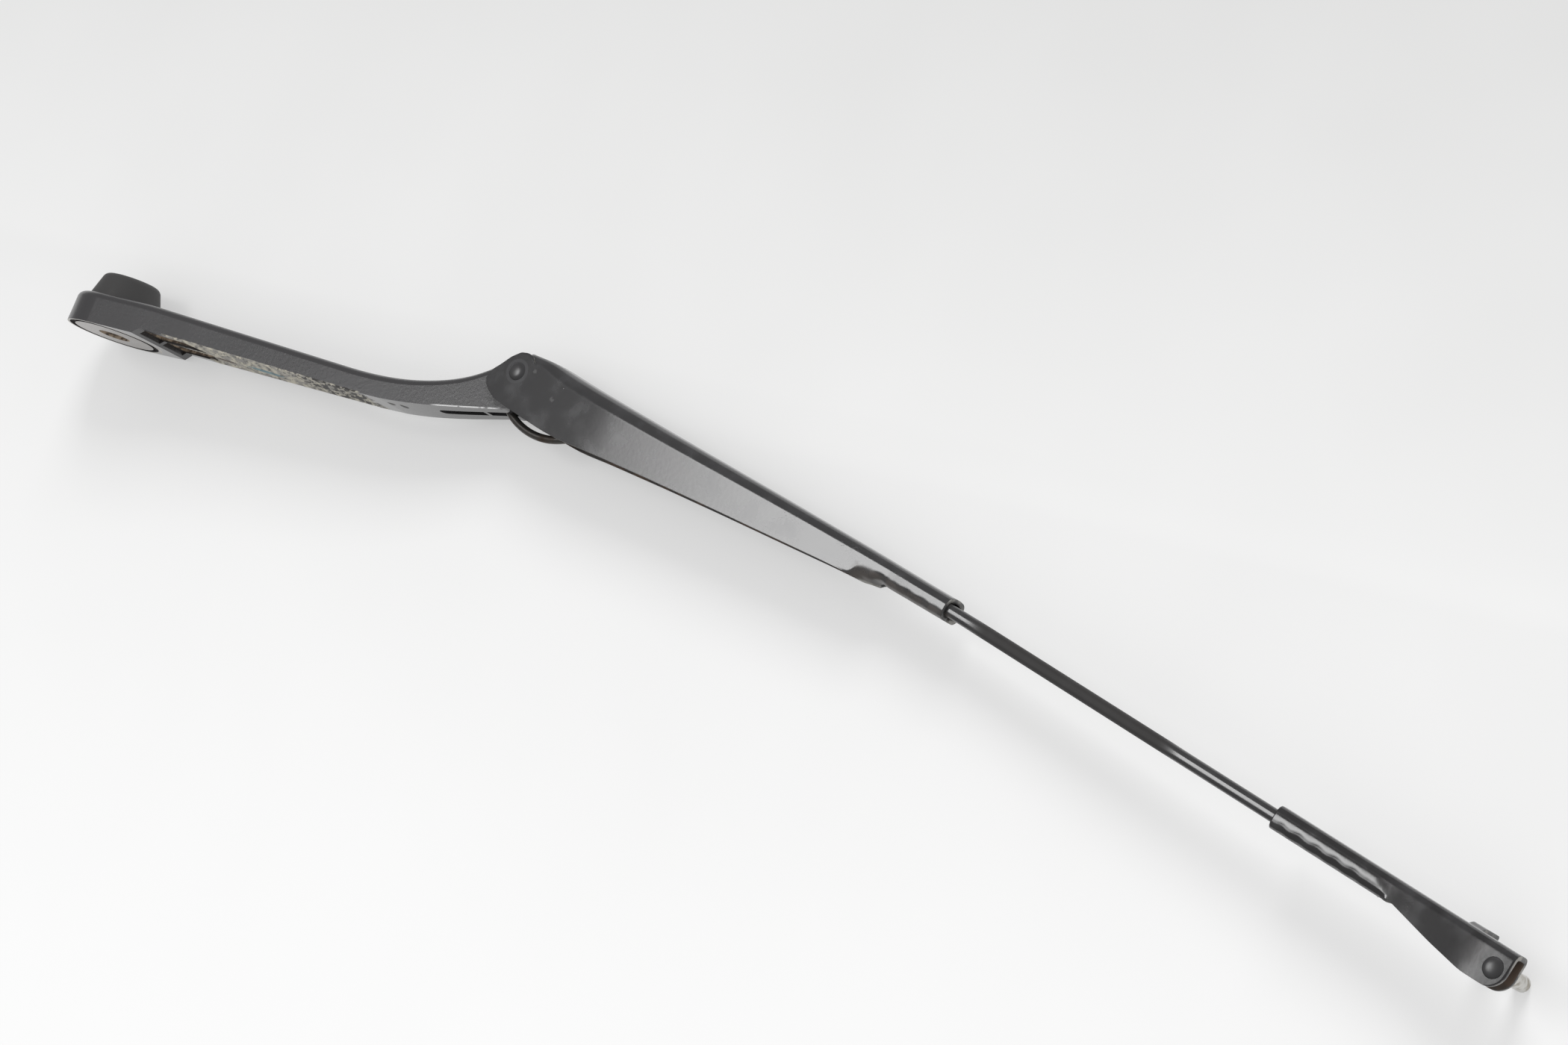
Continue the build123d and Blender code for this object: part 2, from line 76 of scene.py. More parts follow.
@dataclass(frozen=True)
class PitchedFrame:
    """A frame in the arm's side plane, pitched down from +X."""

    origin: Pair
    pitch: float

    def place(self, x: np.ndarray, y: np.ndarray, z: np.ndarray) -> np.ndarray:
        """Points in metres: origin plus x along the pitch, z square to it and y across.

        Args:
            x: stations along the pitch, mm.
            y: offsets across, mm.
            z: heights square to the pitch, mm.

        Returns:
            Array of points with a last axis of three.
        """
        turn = math.radians(self.pitch)
        along, up = (math.cos(turn), -math.sin(turn)), (math.sin(turn), math.cos(turn))
        x, y, z = np.broadcast_arrays(x, y, z)
        east = self.origin[0] + x * along[0] + z * up[0]
        high = self.origin[1] + x * along[1] + z * up[1]
        return np.stack([east, y, high], axis=-1) * MM

    def spot(self, x: float, z: float) -> Pair:
        """One point of the side plane, mm."""
        east, _, high = self.place(np.array(x), np.array(0.0), np.array(z)) / MM
        return float(east), float(high)


@dataclass(frozen=True)
class SidePlane:
    """Driving sizes of the arm in its side plane, mm and degrees."""

    pivot: Pair = (163.8, 16.9)
    pitch: float = 14.3
    rod_mid: float = 3.95
    tube_end: float = 169.5
    rod_bend: float = 1.6
    rod_bend_radius: float = 250.0
    anchor: Pair = (161.0, 9.0)
    link_reach: float = 26.0
    hook_station: float = 120.0

    def arm(self) -> PitchedFrame:
        """Frame of the channel, from the pivot."""
        return PitchedFrame(self.pivot, self.pitch)

    def tip(self) -> PitchedFrame:
        """Frame of the rod's lower run and the tip.

        Returns:
            The frame, from the end of the rod's bend.
        """
        turn = math.radians(self.rod_bend)
        run, drop = self.rod_bend_radius * math.sin(turn), self.rod_bend_radius * (1.0 - math.cos(turn))
        return PitchedFrame(self.arm().spot(self.tube_end + run, self.rod_mid - drop), self.pitch + self.rod_bend)

    def spring(self) -> tuple[Pair, Pair]:
        """Ends of the spring.

        Returns:
            The points on the link and in the rod's hole, mm.
        """
        hook = self.arm().spot(self.hook_station, self.rod_mid)
        run = np.subtract(hook, self.anchor)
        loop = self.anchor + run * self.link_reach / np.linalg.norm(run)
        return (float(loop[0]), float(loop[1])), hook


PLANE = SidePlane()
ARM, TIP = PLANE.arm(), PLANE.tip()


class Wire:
    """An output socket whose arithmetic adds Math nodes to its graph."""

    def __init__(self, graph: "Graph", socket: bpy.types.NodeSocket) -> None:
        """Keeps the graph and the socket."""
        self.graph = graph
        self.socket = socket

    def math(self, operation: str, *values: "Wire | float") -> "Wire":
        """Math node of that operation on the given values."""
        return self.graph.node("ShaderNodeMath", {"operation": operation}, dict(enumerate(values)))

    def __add__(self, other: "Wire | float") -> "Wire":
        """Sum."""
        return self.math("ADD", self, other)

    def __radd__(self, other: float) -> "Wire":
        """Sum with a number on the left."""
        return self.math("ADD", other, self)

    def __sub__(self, other: "Wire | float") -> "Wire":
        """Difference."""
        return self.math("SUBTRACT", self, other)

    def __rsub__(self, other: float) -> "Wire":
        """Difference from a number."""
        return self.math("SUBTRACT", other, self)

    def __mul__(self, other: "Wire | float") -> "Wire":
        """Product."""
        return self.math("MULTIPLY", self, other)

    def __rmul__(self, other: float) -> "Wire":
        """Product with a number on the left."""
        return self.math("MULTIPLY", other, self)

    def __truediv__(self, other: "Wire | float") -> "Wire":
        """Quotient."""
        return self.math("DIVIDE", self, other)

    def __pow__(self, other: float) -> "Wire":
        """Power."""
        return self.math("POWER", self, other)

    def __abs__(self) -> "Wire":
        """Absolute value."""
        return self.math("ABSOLUTE", self)

    def above(self, limit: float) -> "Wire":
        """1 where the value is over the limit, 0 elsewhere."""
        return self.math("GREATER_THAN", self, limit)

    def most(self, other: "Wire | float") -> "Wire":
        """The larger of two values."""
        return self.math("MAXIMUM", self, other)

    def rise(self, low: float, high: float) -> "Wire":
        """Smooth step from 0 at low to 1 at high; falling if low is over high.

        Args:
            low: value that gives 0.
            high: value that gives 1.

        Returns:
            The eased value.
        """
        ends = (low, high, 0.0, 1.0) if low < high else (high, low, 1.0, 0.0)
        settings = {"interpolation_type": "SMOOTHSTEP"}
        return self.graph.node("ShaderNodeMapRange", settings, dict(enumerate((self, *ends))))

    def band(self, low: float, high: float, soft: float) -> "Wire":
        """1 between low and high, falling to 0 over a soft width outside them."""
        return self.rise(low - soft, low) * self.rise(high + soft, high)


class Graph:
    """A material's or the world's node tree, filled by expressions."""

    def __init__(self, name: str, owner: bpy.types.World | None = None) -> None:
        """Empties a node tree.

        Args:
            name: name of the new material, if there is no owner.
            owner: the world whose tree it is.
        """
        self.material = owner or bpy.data.materials.new(name)
        self.material.use_nodes = True
        self.tree = self.material.node_tree
        self.tree.nodes.clear()
        self.place = self.node("ShaderNodeTexCoord", out="Object")

    def node(
        self,
        kind: str,
        settings: dict[str, object] | None = None,
        inputs: dict[int | str, object] | None = None,
        out: int | str = 0,
    ) -> Wire:
        """Adds a node.

        Args:
            kind: the node's type.
            settings: properties that are set first.
            inputs: values or wires for its input sockets.
            out: the output socket that is handed back.

        Returns:
            The wrapped output socket.
        """
        made = self.tree.nodes.new(kind)
        for key, value in (settings or {}).items():
            setattr(made, key, value)
        for key, value in (inputs or {}).items():
            if isinstance(value, Wire):
                self.tree.links.new(value.socket, made.inputs[key])
            else:
                made.inputs[key].default_value = value
        return Wire(self, made.outputs[out])

    def split(self, vector: Wire) -> tuple[Wire, Wire, Wire]:
        """The three parts of a vector."""
        first = self.node("ShaderNodeSeparateXYZ", inputs={0: vector})
        return tuple(Wire(self, socket) for socket in first.socket.node.outputs)

    def mix(self, share: Wire, first: object, second: object) -> Wire:
        """Colour that goes from first to second as share goes from 0 to 1."""
        colours = {0: share, 6: first, 7: second}
        return self.node("ShaderNodeMix", {"data_type": "RGBA"}, colours, out=2)

    def noise(self, scale: float, detail: float = 3.0, place: Wire | None = None) -> Wire:
        """Soft noise with about scale features to a metre."""
        spot = place or self.place
        return self.node("ShaderNodeTexNoise", None, {"Vector": spot, "Scale": scale, "Detail": detail})

    def stretched(self, x: float, y: float, z: float, turn: Triple) -> Wire:
        """Object place, turned and then scaled apart along its axes."""
        turned = self.node("ShaderNodeMapping", None, {"Vector": self.place, "Rotation": turn})
        return self.node("ShaderNodeMapping", None, {"Vector": turned, "Scale": (x, y, z)})

    def specks(self, scale: float, size: float, share: float) -> Wire:
        """Small round specks.

        Args:
            scale: cells to a metre.
            size: a speck's radius as a share of its cell.
            share: the part of the cells that hold a speck.

        Returns:
            1 in the specks, 0 elsewhere.
        """
        cells = {"Vector": self.place, "Scale": scale}
        distance = self.node("ShaderNodeTexVoronoi", None, cells)
        chance = self.split(self.node("ShaderNodeTexVoronoi", None, cells, out="Color"))[0]
        return distance.rise(size, size * 0.5) * chance.above(1.0 - share)

    def scratches(self, turn: Triple, amount: float) -> Wire:
        """Fine straight scratches along one direction, in patches.

        Args:
            turn: rotation of the direction, in radians.
            amount: half width of the noise band that makes a scratch.

        Returns:
            1 in a scratch, 0 elsewhere.
        """
        lines = self.noise(1.0, 1.0, self.stretched(45.0, 1400.0, 1400.0, turn))
        patches = self.noise(55.0, 1.0).rise(0.58, 0.7)
        return abs(lines - 0.5).rise(amount, amount * 0.4) * patches

    def finish(self, normal: Wire | None = None, **sockets: object) -> bpy.types.Material:
        """Ends the graph in one surface shader.

        Args:
            normal: bumped normal, if there is one.
            sockets: the shader's inputs, with underscores for spaces.

        Returns:
            The finished material.
        """
        inputs = {key.replace("_", " "): value for key, value in sockets.items()}
        if normal is not None:
            inputs["Normal"] = normal
        shader = self.node("ShaderNodeBsdfPrincipled", None, inputs)
        self.node_output(shader)
        return self.material

    def node_output(self, shader: Wire, kind: str = "ShaderNodeOutputMaterial") -> None:
        """Links a shader to the surface of an output node of that kind."""
        output = self.tree.nodes.new(kind)
        self.tree.links.new(shader.socket, output.inputs["Surface"])

    def bump(self, height: Wire, depth: float, strength: float = 1.0) -> Wire:
        """Bumped normal from a height between 0 and 1 that stands for depth metres."""
        return self.node("ShaderNodeBump", None, {"Height": height, "Distance": depth, "Strength": strength})


@dataclass(frozen=True)
class SheetPaint:
    """Gloss black paint on folded sheet steel, with specks, scratches, rubbed spots and a painted highlight ring.

    The scuffs are stations, heights and radii in the arm's own frame, mm. The grime lies in a stretch of that frame,
    below a height, and the dull stretch, rougher and painted a darker brown as painted shade, is along +X. A share is
    how much of a mark the paint takes at most.
    """

    colour: Colour = (0.0225, 0.022, 0.0228, 1.0)
    # Lighter paint of rubbed scratches and the film, also used for the painted highlight ring round the rivet.
    rubbed: Colour = (0.07, 0.07, 0.074, 1.0)
    # Darker brown of the dull stretch: painted shade where the rod shows no reflection.
    shade_brown: Colour = (0.014, 0.0105, 0.009, 1.0)
    speck: Colour = (0.3, 0.3, 0.3, 1.0)
    scuffed: Colour = (0.3, 0.295, 0.29, 1.0)
    grime: Colour = (0.075, 0.062, 0.053, 1.0)
    gloss: float = 0.14
    dull: float = 0.0
    dull_shade_stretch: Pair = (344.0, 404.0)
    dull_soft: float = 9.0
    grimy: Pair = (138.0, 171.0)
    grimy_soft: float = 2.5
    grime_top: Pair = (3.3, 2.1)
    grime_share: float = 0.6
    # Radii, soft width and share of the painted highlight ring round the rivet.
    ring: Pair = (2.9, 3.7)
    ring_soft: float = 0.5
    ring_highlight_share: float = 0.35
    film_share: float = 0.3
    speck_share: float = 0.6
    scratch_share: float = 0.5
    scuff_share: float = 0.14
    scuffs: tuple[Triple, Triple, Triple] = ((5.8, 2.7, 0.9), (16.6, -2.1, 1.0), (147.0, -0.4, 0.9))

    def marks(self, g: Graph, along: Wire, across: Wire) -> Wire:
        """Scuffed paint: a soft round at each scuff, broken up by noise.

        Args:
            g: the material's graph.
            along: station in the arm's frame.
            across: height in the arm's frame.

        Returns:
            1 in a scuff, 0 elsewhere.
        """
        rounds = [((along - a) ** 2.0 + (across - b) ** 2.0).rise(r * r, r * r * 0.2) for a, b, r in self.scuffs]
        whole = rounds[0].most(rounds[1]).most(rounds[2])
        return whole * g.noise(1400.0, 2.0).rise(0.4, 0.6)

    def material(self, name: str) -> bpy.types.Material:
        """Makes the paint's material.

        Args:
            name: the material's name.

        Returns:
            The material.
        """
        g = Graph(name)
        x, _, z = (part * TO_MM for part in g.split(g.place))
        turn = math.radians(ARM.pitch)
        east, high = x - ARM.origin[0], z - ARM.origin[1]
        along = east * math.cos(turn) - high * math.sin(turn)
        across = east * math.sin(turn) + high * math.cos(turn)
        scratch = g.scratches((0.0, 0.25, 0.1), 0.006).most(g.scratches((0.3, -0.5, 0.0), 0.005))
        speck = g.specks(170.0, 0.04, 0.07) * self.speck_share
        # Painted highlight: a lighter ring round the rivet, where the paint fillet at the head's foot would catch the
        # light.
        ring = ((along**2.0 + across**2.0) ** 0.5).band(*self.ring, self.ring_soft) * self.ring_highlight_share
        film = g.noise(130.0, 5.0).rise(0.45, 0.75) * self.film_share
        worn = g.mix((scratch * self.scratch_share).most(ring).most(film), self.colour, self.rubbed)
        worn = g.mix(self.marks(g, along, across) * self.scuff_share, worn, self.scuffed)
        # Painted shade: over the dull stretch the paint turns a darker brown, as well as growing rougher.
        dull_and_shaded = x.band(*self.dull_shade_stretch, self.dull_soft) * self.dull
        grime = along.band(*self.grimy, self.grimy_soft) * across.rise(*self.grime_top)
        grime = grime * g.noise(240.0, 3.0).rise(0.25, 0.6)
        worn = g.mix(grime * self.grime_share, g.mix(dull_and_shaded, worn, self.shade_brown), self.grime)
        rough = self.gloss + dull_and_shaded + grime * 0.2 + film * 0.12 + scratch * 0.15 + speck * 0.3
        return g.finish(
            g.bump(g.noise(900.0, 2.0), 0.00002, 0.25),
            Base_Color=g.mix(speck, worn, self.speck),
            Roughness=rough,
            IOR=PAINT_IOR,
        )


@dataclass(frozen=True)
class CutEdge:
    """Sheared edge of the sheet: thin paint with bare metal showing along it."""

    painted: Colour = (0.05, 0.05, 0.05, 1.0)
    bare: Colour = (0.32, 0.31, 0.29, 1.0)

    def material(self, name: str) -> bpy.types.Material:
        """Makes the edge's material.

        Args:
            name: the material's name.

        Returns:
            The material.
        """
        g = Graph(name)
        bare = g.noise(260.0, 3.0).rise(0.45, 0.65)
        return g.finish(
            g.bump(g.noise(1500.0, 2.0), 0.00004, 0.5),
            Base_Color=g.mix(bare, self.painted, self.bare),
            Metallic=bare * 0.6,
            Roughness=0.38 + bare * 0.15,
        )


@dataclass(frozen=True)
class InnerFace:
    """Inside of the folded sheet: thin dull paint with rust-brown dirt."""

    paint: Colour = (0.045, 0.042, 0.04, 1.0)
    rust: Colour = (0.11, 0.075, 0.055, 1.0)

    def material(self, name: str) -> bpy.types.Material:
        """Makes the inside's material.

        Args:
            name: the material's name.

        Returns:
            The material.
        """
        g = Graph(name)
        dirt = g.noise(170.0, 4.0).rise(0.42, 0.68)
        return g.finish(
            g.bump(g.noise(1300.0, 2.0), 0.00004, 0.4),
            Base_Color=g.mix(dirt, self.paint, self.rust),
            Roughness=0.5 + dirt * 0.25,
        )


@dataclass(frozen=True)
class CastPaint:
    """Satin black paint on the cast head, worn to corroded metal along its underside.

    Places are in mm in the head's own frame: stretches along +X, radii round the bore, and pairs of heights or sides
    between which a mark fades in. The belly is the start, height and slope of the worn edge.
    """

    colour: Colour = (0.029, 0.028, 0.0295, 1.0)
    rubbed: Colour = (0.07, 0.07, 0.07, 1.0)
    zinc: Colour = (0.22, 0.21, 0.19, 1.0)
    chalk: Colour = (0.45, 0.42, 0.34, 1.0)
    soil: Colour = (0.02, 0.017, 0.014, 1.0)
    brown: Colour = (0.1, 0.07, 0.05, 1.0)
    # Light tan of the dirt in the pockets and bore, kept light as painted fill light against their shade.
    tan_painted_fill: Colour = (0.42, 0.33, 0.24, 1.0)
    verdigris: Colour = (0.06, 0.19, 0.24, 1.0)
    machined: Colour = (0.14, 0.125, 0.11, 1.0)
    # Light line along the lug's near lower edge: worn metal and a painted highlight of the edge.
    worn_edge_and_highlight: Colour = (0.42, 0.42, 0.42, 1.0)
    gloss: float = 0.26
    gloss_below: float = 0.1
    strip: Pair = (33.0, 108.0)
    flaking: Pair = (84.0, 110.0)
    green_spot: Patch = (63.0, 2.5, 8.0, 2.6)
    brown_spot: Patch = (45.0, 3.0, 5.0, 2.2)
    nicks: tuple[Patch, Patch] = ((118.3, -2.6, 1.5, 1.5), (122.6, -1.6, 1.3, 2.0))
    belly: Triple = (21.5, 1.9, -0.0335)
    lip_height: Pair = (0.5, 0.3)
    lip_side: Pair = (4.5, 5.0)
    disc: float = 16.3
    disc_height: Pair = (1.6, 1.4)
    rim: float = 15.7
    bore: float = 5.2
    bore_top: Pair = (7.5, 7.3)
    pockets: Triple = (19.5, 41.5, 12.0)
    pocket_edge: Pair = (2.1, 2.6)
    lug_run: Pair = (110.0, 158.0)
    bright_edge: Pair = (139.0, 158.0)
    edge_height: float = 0.35
    edge_side: Pair = (-4.3, -4.6)

    def lower_edge(self) -> np.ndarray:
        """Cubic through the head's underside between the belly and the lug: a fit, then one without recesses.

        Returns:
            The cubic's four factors, for places and heights in mm.
        """
        mesh = frame["nodes"]["mounting_head"].data
        points = np.empty(len(mesh.vertices) * 3, dtype=np.float32)
        mesh.vertices.foreach_get("co", points)
        points = points.reshape(-1, 3) / MM
        corners = np.empty(len(mesh.loops), dtype=np.int32)
        mesh.loops.foreach_get("vertex_index", corners)
        facing = np.empty(len(mesh.polygons) * 3, dtype=np.float32)
        mesh.polygons.foreach_get("normal", facing)
        below = facing.reshape(-1, 3)[:, 2] < -0.7
        used = points[np.unique(corners.reshape(len(mesh.polygons), -1)[below])]
        first, last = self.lug_run
        used = used[(used[:, 0] > first) & (used[:, 0] < last)]
        rough = np.polyval(np.polyfit(used[:, 0], used[:, 2], 3), used[:, 0])
        outer = used[used[:, 2] < rough + 0.2]
        return np.polyfit(outer[:, 0], outer[:, 2], 3)

    def spot(self, g: Graph, x: Wire, y: Wire, place: Patch) -> Wire:
        """Soft ellipse with a ragged edge.

        Args:
            g: the material's graph.
            x: place along the head.
            y: place across it.
            place: the ellipse's centre and half sizes.

        Returns:
            1 in the ellipse, 0 elsewhere.
        """
        east, side, long, wide = place
        away = ((x - east) / long) ** 2.0 + ((y - side) / wide) ** 2.0
        return (away + (g.noise(500.0, 3.0) - 0.5) * 1.6).rise(1.2, 0.5)

    def corroded(self, g: Graph, x: Wire, y: Wire) -> Wire:
        """Bare underside: mottled zinc and chalk, soil specks, a green and a brown spot.

        Args:
            g: the material's graph.
            x: place along the head.
            y: place across it.

        Returns:
            The colour.
        """
        along = g.stretched(1.0, 0.28, 1.0, (0.0, 0.0, -0.63))
        metal = g.mix(g.noise(480.0, 4.0, along).rise(0.38, 0.62), self.zinc, self.chalk)
        metal = g.mix(self.spot(g, x, y, self.brown_spot), metal, self.brown)
        metal = g.mix(self.spot(g, x, y, self.green_spot) * 0.8, metal, self.verdigris)
        flake = x.band(*self.flaking, 6.0)
        fine = g.noise(1000.0, 3.0, along).rise(0.56, 0.62) * 0.7
        coarse = g.noise(600.0, 3.0, along).rise(0.49, 0.53) * flake
        return g.mix(fine.most(coarse), metal, self.soil)

    def material(self, name: str) -> bpy.types.Material:
        """Makes the material of the paint and its corrosion.

        Args:
            name: the material's name.

        Returns:
            The material.
        """
        g = Graph(name)
        x, y, z = (part * TO_MM for part in g.split(g.place))
        facing = g.split(g.node("ShaderNodeTexCoord", out="Normal"))[2]
        below = facing.rise(-0.45, -0.8)
        reach = (x**2.0 + y**2.0) ** 0.5
        ragged = x + (g.noise(160.0, 3.0) - 0.5) * 16.0
        start, level, slope = self.belly
        over = z - level - (x - start) * slope + (g.noise(800.0, 4.0) - 0.5) * 0.6
        lip = over.rise(*self.lip_height) * facing.rise(0.2, 0.0) * abs(y).rise(*self.lip_side)
        bare = below.most(lip) * ragged.band(*self.strip, 2.5)
        disc = reach.rise(self.disc + 0.1, self.disc) * z.rise(*self.disc_height) * facing.rise(-0.3, -0.7)
        rim = disc * reach.rise(self.rim - 0.2, self.rim) * g.noise(260.0, 3.0).rise(0.35, 0.6) * 0.7
        first, last, half = self.pockets
        inside = x.band(first, last, 0.2) * abs(y).rise(half + 0.3, half) * facing.rise(0.3, 0.0)
        bore = reach.rise(self.bore + 0.1, self.bore) * z.rise(*self.bore_top)
        dirt = (inside * z.rise(*self.pocket_edge)).most(bore)
        marks = self.spot(g, x, y, self.nicks[0]).most(self.spot(g, x, y, self.nicks[1])) * below
        a, b, c, d = (float(v) for v in self.lower_edge())
        height = z - (((x * a + b) * x + c) * x + d)
        # Worn metal and painted highlight: a light line along the near lower edge of the lug, between wall and
        # underside.
        edge = height.band(0.0, self.edge_height, 0.15) * x.band(*self.bright_edge, 4.0) * facing.rise(-0.6, -0.2)
        edge = edge * y.rise(*self.edge_side) * g.noise(420.0, 2.0).rise(0.3, 0.45)
        scratch = g.scratches((0.1, -0.2, 0.15), 0.005)
        colour = g.mix((scratch * 0.6).most(g.specks(150.0, 0.05, 0.12)), self.colour, self.rubbed)
        turned = g.mix(g.noise(300.0, 4.0).rise(0.4, 0.65) * 0.7, self.machined, self.brown)
        colour = g.mix(bare, g.mix(disc, colour, turned), self.corroded(g, x, y))
        colour = g.mix(edge, g.mix(rim, colour, self.chalk), self.worn_edge_and_highlight)
        colour = g.mix(marks, colour, self.soil)
        # Dirt in the pockets and the bore, brown to tan; the tan is painted fill light that lifts the shade in these
        # recesses.
        colour = g.mix(dirt, colour, g.mix(g.noise(500.0, 3.0).rise(0.4, 0.6), self.brown, self.tan_painted_fill))
        rough = self.gloss + (self.gloss_below - self.gloss) * below + (g.noise(60.0, 3.0) - 0.5) * 0.08
        return g.finish(
            g.bump(g.mix(bare, g.noise(1000.0, 2.0), g.noise(1600.0, 3.0)), 0.00006, 0.35),
            Base_Color=colour,
            Metallic=disc * 0.4,
            Roughness=rough + bare * 0.65 + dirt * 0.5 + disc * 0.12 + marks * 0.5,
            IOR=PAINT_IOR,
        )


@dataclass(frozen=True)
class MouldedPlastic:
    """Matte black moulding with a fine spark texture and pale dust."""

    colour: Colour = (0.037, 0.036, 0.036, 1.0)
    dust: Colour = (0.085, 0.082, 0.078, 1.0)
    rough: float = 0.6

    def material(self, name: str) -> bpy.types.Material:
        """Makes the moulding's material.

        Args:
            name: the material's name.

        Returns:
            The material.
        """
        g = Graph(name)
        grain = g.noise(2600.0, 2.0)
        dust = g.noise(90.0, 4.0).rise(0.5, 0.75) * 0.35
        return g.finish(
            g.bump(grain, 0.00005, 0.5),
            Base_Color=g.mix(dust, self.colour, self.dust),
            Roughness=self.rough + (grain - 0.5) * 0.2,
        )


@dataclass(frozen=True)
class Steel:
    """Bare or darkened steel with drawn streaks and rust-brown tarnish."""

    colour: Colour
    tarnish: Colour
    rough: float
    metal: float = 0.9
    spread: Pair = (0.45, 0.7)

    def material(self, name: str) -> bpy.types.Material:
        """Makes the steel's material.

        Args:
            name: the material's name.

        Returns:
            The material.
        """
        g = Graph(name)
        patch = g.noise(300.0, 4.0).rise(*self.spread)
        grain = g.noise(1800.0, 2.0)
        return g.finish(
            g.bump(grain, 0.00003, 0.4),
            Base_Color=g.mix(patch, self.colour, self.tarnish),
            Metallic=self.metal * (1.0 - patch * 0.4),
            Roughness=self.rough + patch * 0.2 + (grain - 0.5) * 0.1,
        )


@dataclass(frozen=True)
class RivetedPin:
    """Zinc-plated pin whose riveted near end is painted with the arm."""

    zinc: Colour = (0.6, 0.59, 0.56, 1.0)
    tarnish: Colour = (0.36, 0.33, 0.28, 1.0)
    paint: Colour = (0.0125, 0.0115, 0.012, 1.0)
    painted_from: float = -3.4
    rough: float = 0.3

    def material(self, name: str) -> bpy.types.Material:
        """Makes the pin's material.

        Args:
            name: the material's name.

        Returns:
            The material.
        """
        g = Graph(name)
        painted = (g.split(g.place)[1] * TO_MM).rise(self.painted_from, self.painted_from - 0.3)
        patch = g.noise(420.0, 4.0).rise(0.45, 0.7)
        return g.finish(
            g.bump(g.noise(1500.0, 2.0), 0.00003, 0.4),
            Base_Color=g.mix(painted, g.mix(patch, self.zinc, self.tarnish), self.paint),
            Metallic=0.9 * (1.0 - painted),
            Roughness=self.rough + patch * 0.15,
        )


def ease(x: np.ndarray, low: float, high: float) -> np.ndarray:
    """Smooth step from 0 at low to 1 at high: t squared times (3 - 2 t)."""
    t = np.clip((x - low) / (high - low), 0.0, 1.0)
    return t * t * (3.0 - 2.0 * t)


def soft_line(x: np.ndarray, line: Line, reach: float | np.ndarray, count: int = 7) -> np.ndarray:
    """Straight runs through a line's points with soft corners: the mean height over a reach each way."""
    return np.mean([np.interp(x + s * reach, *line) for s in np.linspace(-1.0, 1.0, count)], axis=0)


def crimp_wave(x: np.ndarray, start: float, pitch: float, fade_in: Pair, fade_out: Pair) -> np.ndarray:
    """Crimp marks: half of one minus a cosine of that pitch from the start, faded in and out."""
    wave = 0.5 - 0.5 * np.cos(2.0 * math.pi * (x - start) / pitch)
    return wave * ease(x, *fade_in) * (1.0 - ease(x, *fade_out))


def grid_faces(rows: int, columns: int, start: int = 0, wrap: bool = False) -> np.ndarray:
    """Quads of a grid of points numbered row by row.

    Args:
        rows: number of rows.
        columns: number of columns.
        start: number of the first point.
        wrap: True if the last column joins the first.

    Returns:
        Array of four point numbers to a quad.
    """
    row = np.arange(rows - 1)[:, None] * columns
    column = np.arange(columns if wrap else columns - 1)[None, :]
    nearer = (column + 1) % columns
    quads = np.stack([row + column, row + nearer, row + columns + nearer, row + columns + column], axis=-1)
    return quads.reshape(-1, 4) + start


class Surface:
    """Grids of points gathered into one mesh object."""

    def __init__(self, name: str) -> None:
        """Starts an empty surface.

        Args:
            name: name of the mesh and its object.
        """
        self.name = name
        self.points: list[np.ndarray] = []
        self.quads: list[np.ndarray] = []
        self.count = 0

    def add(self, grid: np.ndarray, flip: bool = False, wrap: bool = False) -> None:
        """Adds a grid of points.

        Args:
            grid: rows of points, m.
            flip: True if its faces are turned over.
            wrap: True if its last column joins the first.
        """
        rows, columns, _ = grid.shape
        quads = grid_faces(rows, columns, self.count, wrap)
        self.quads.append(quads[:, ::-1] if flip else quads)
        self.points.append(grid.reshape(-1, 3))
        self.count += rows * columns

    def object(self, *materials: bpy.types.Material) -> bpy.types.Object:
        """Makes the mesh object, with doubled points merged and smooth faces.

        Args:
            materials: its material slots.

        Returns:
            The object, linked to the scene.
        """
        mesh = bpy.data.meshes.new(self.name)
        mesh.from_pydata(np.concatenate(self.points).tolist(), [], np.concatenate(self.quads).tolist())
        joined = bmesh.new()
        joined.from_mesh(mesh)
        bmesh.ops.remove_doubles(joined, verts=joined.verts, dist=MERGE)
        joined.to_mesh(mesh)
        joined.free()
        mesh.polygons.foreach_set("use_smooth", np.ones(len(mesh.polygons), dtype=bool))
        for material in materials:
            mesh.materials.append(material)
        made = bpy.data.objects.new(self.name, mesh)
        bpy.context.scene.collection.objects.link(made)
        return made


def thicken(piece: bpy.types.Object, sheet: float) -> None:
    """Gives a surface its thickness on the inner side: rim in the second material, inside in the third.

    Args:
        piece: the surface.
        sheet: the thickness, mm.
    """
    wall = piece.modifiers.new("sheet", "SOLIDIFY")
    wall.thickness = sheet * MM
    wall.offset = -1.0
    wall.use_rim = True
    wall.use_even_offset = False
    wall.material_offset_rim = 1
    wall.material_offset = 2


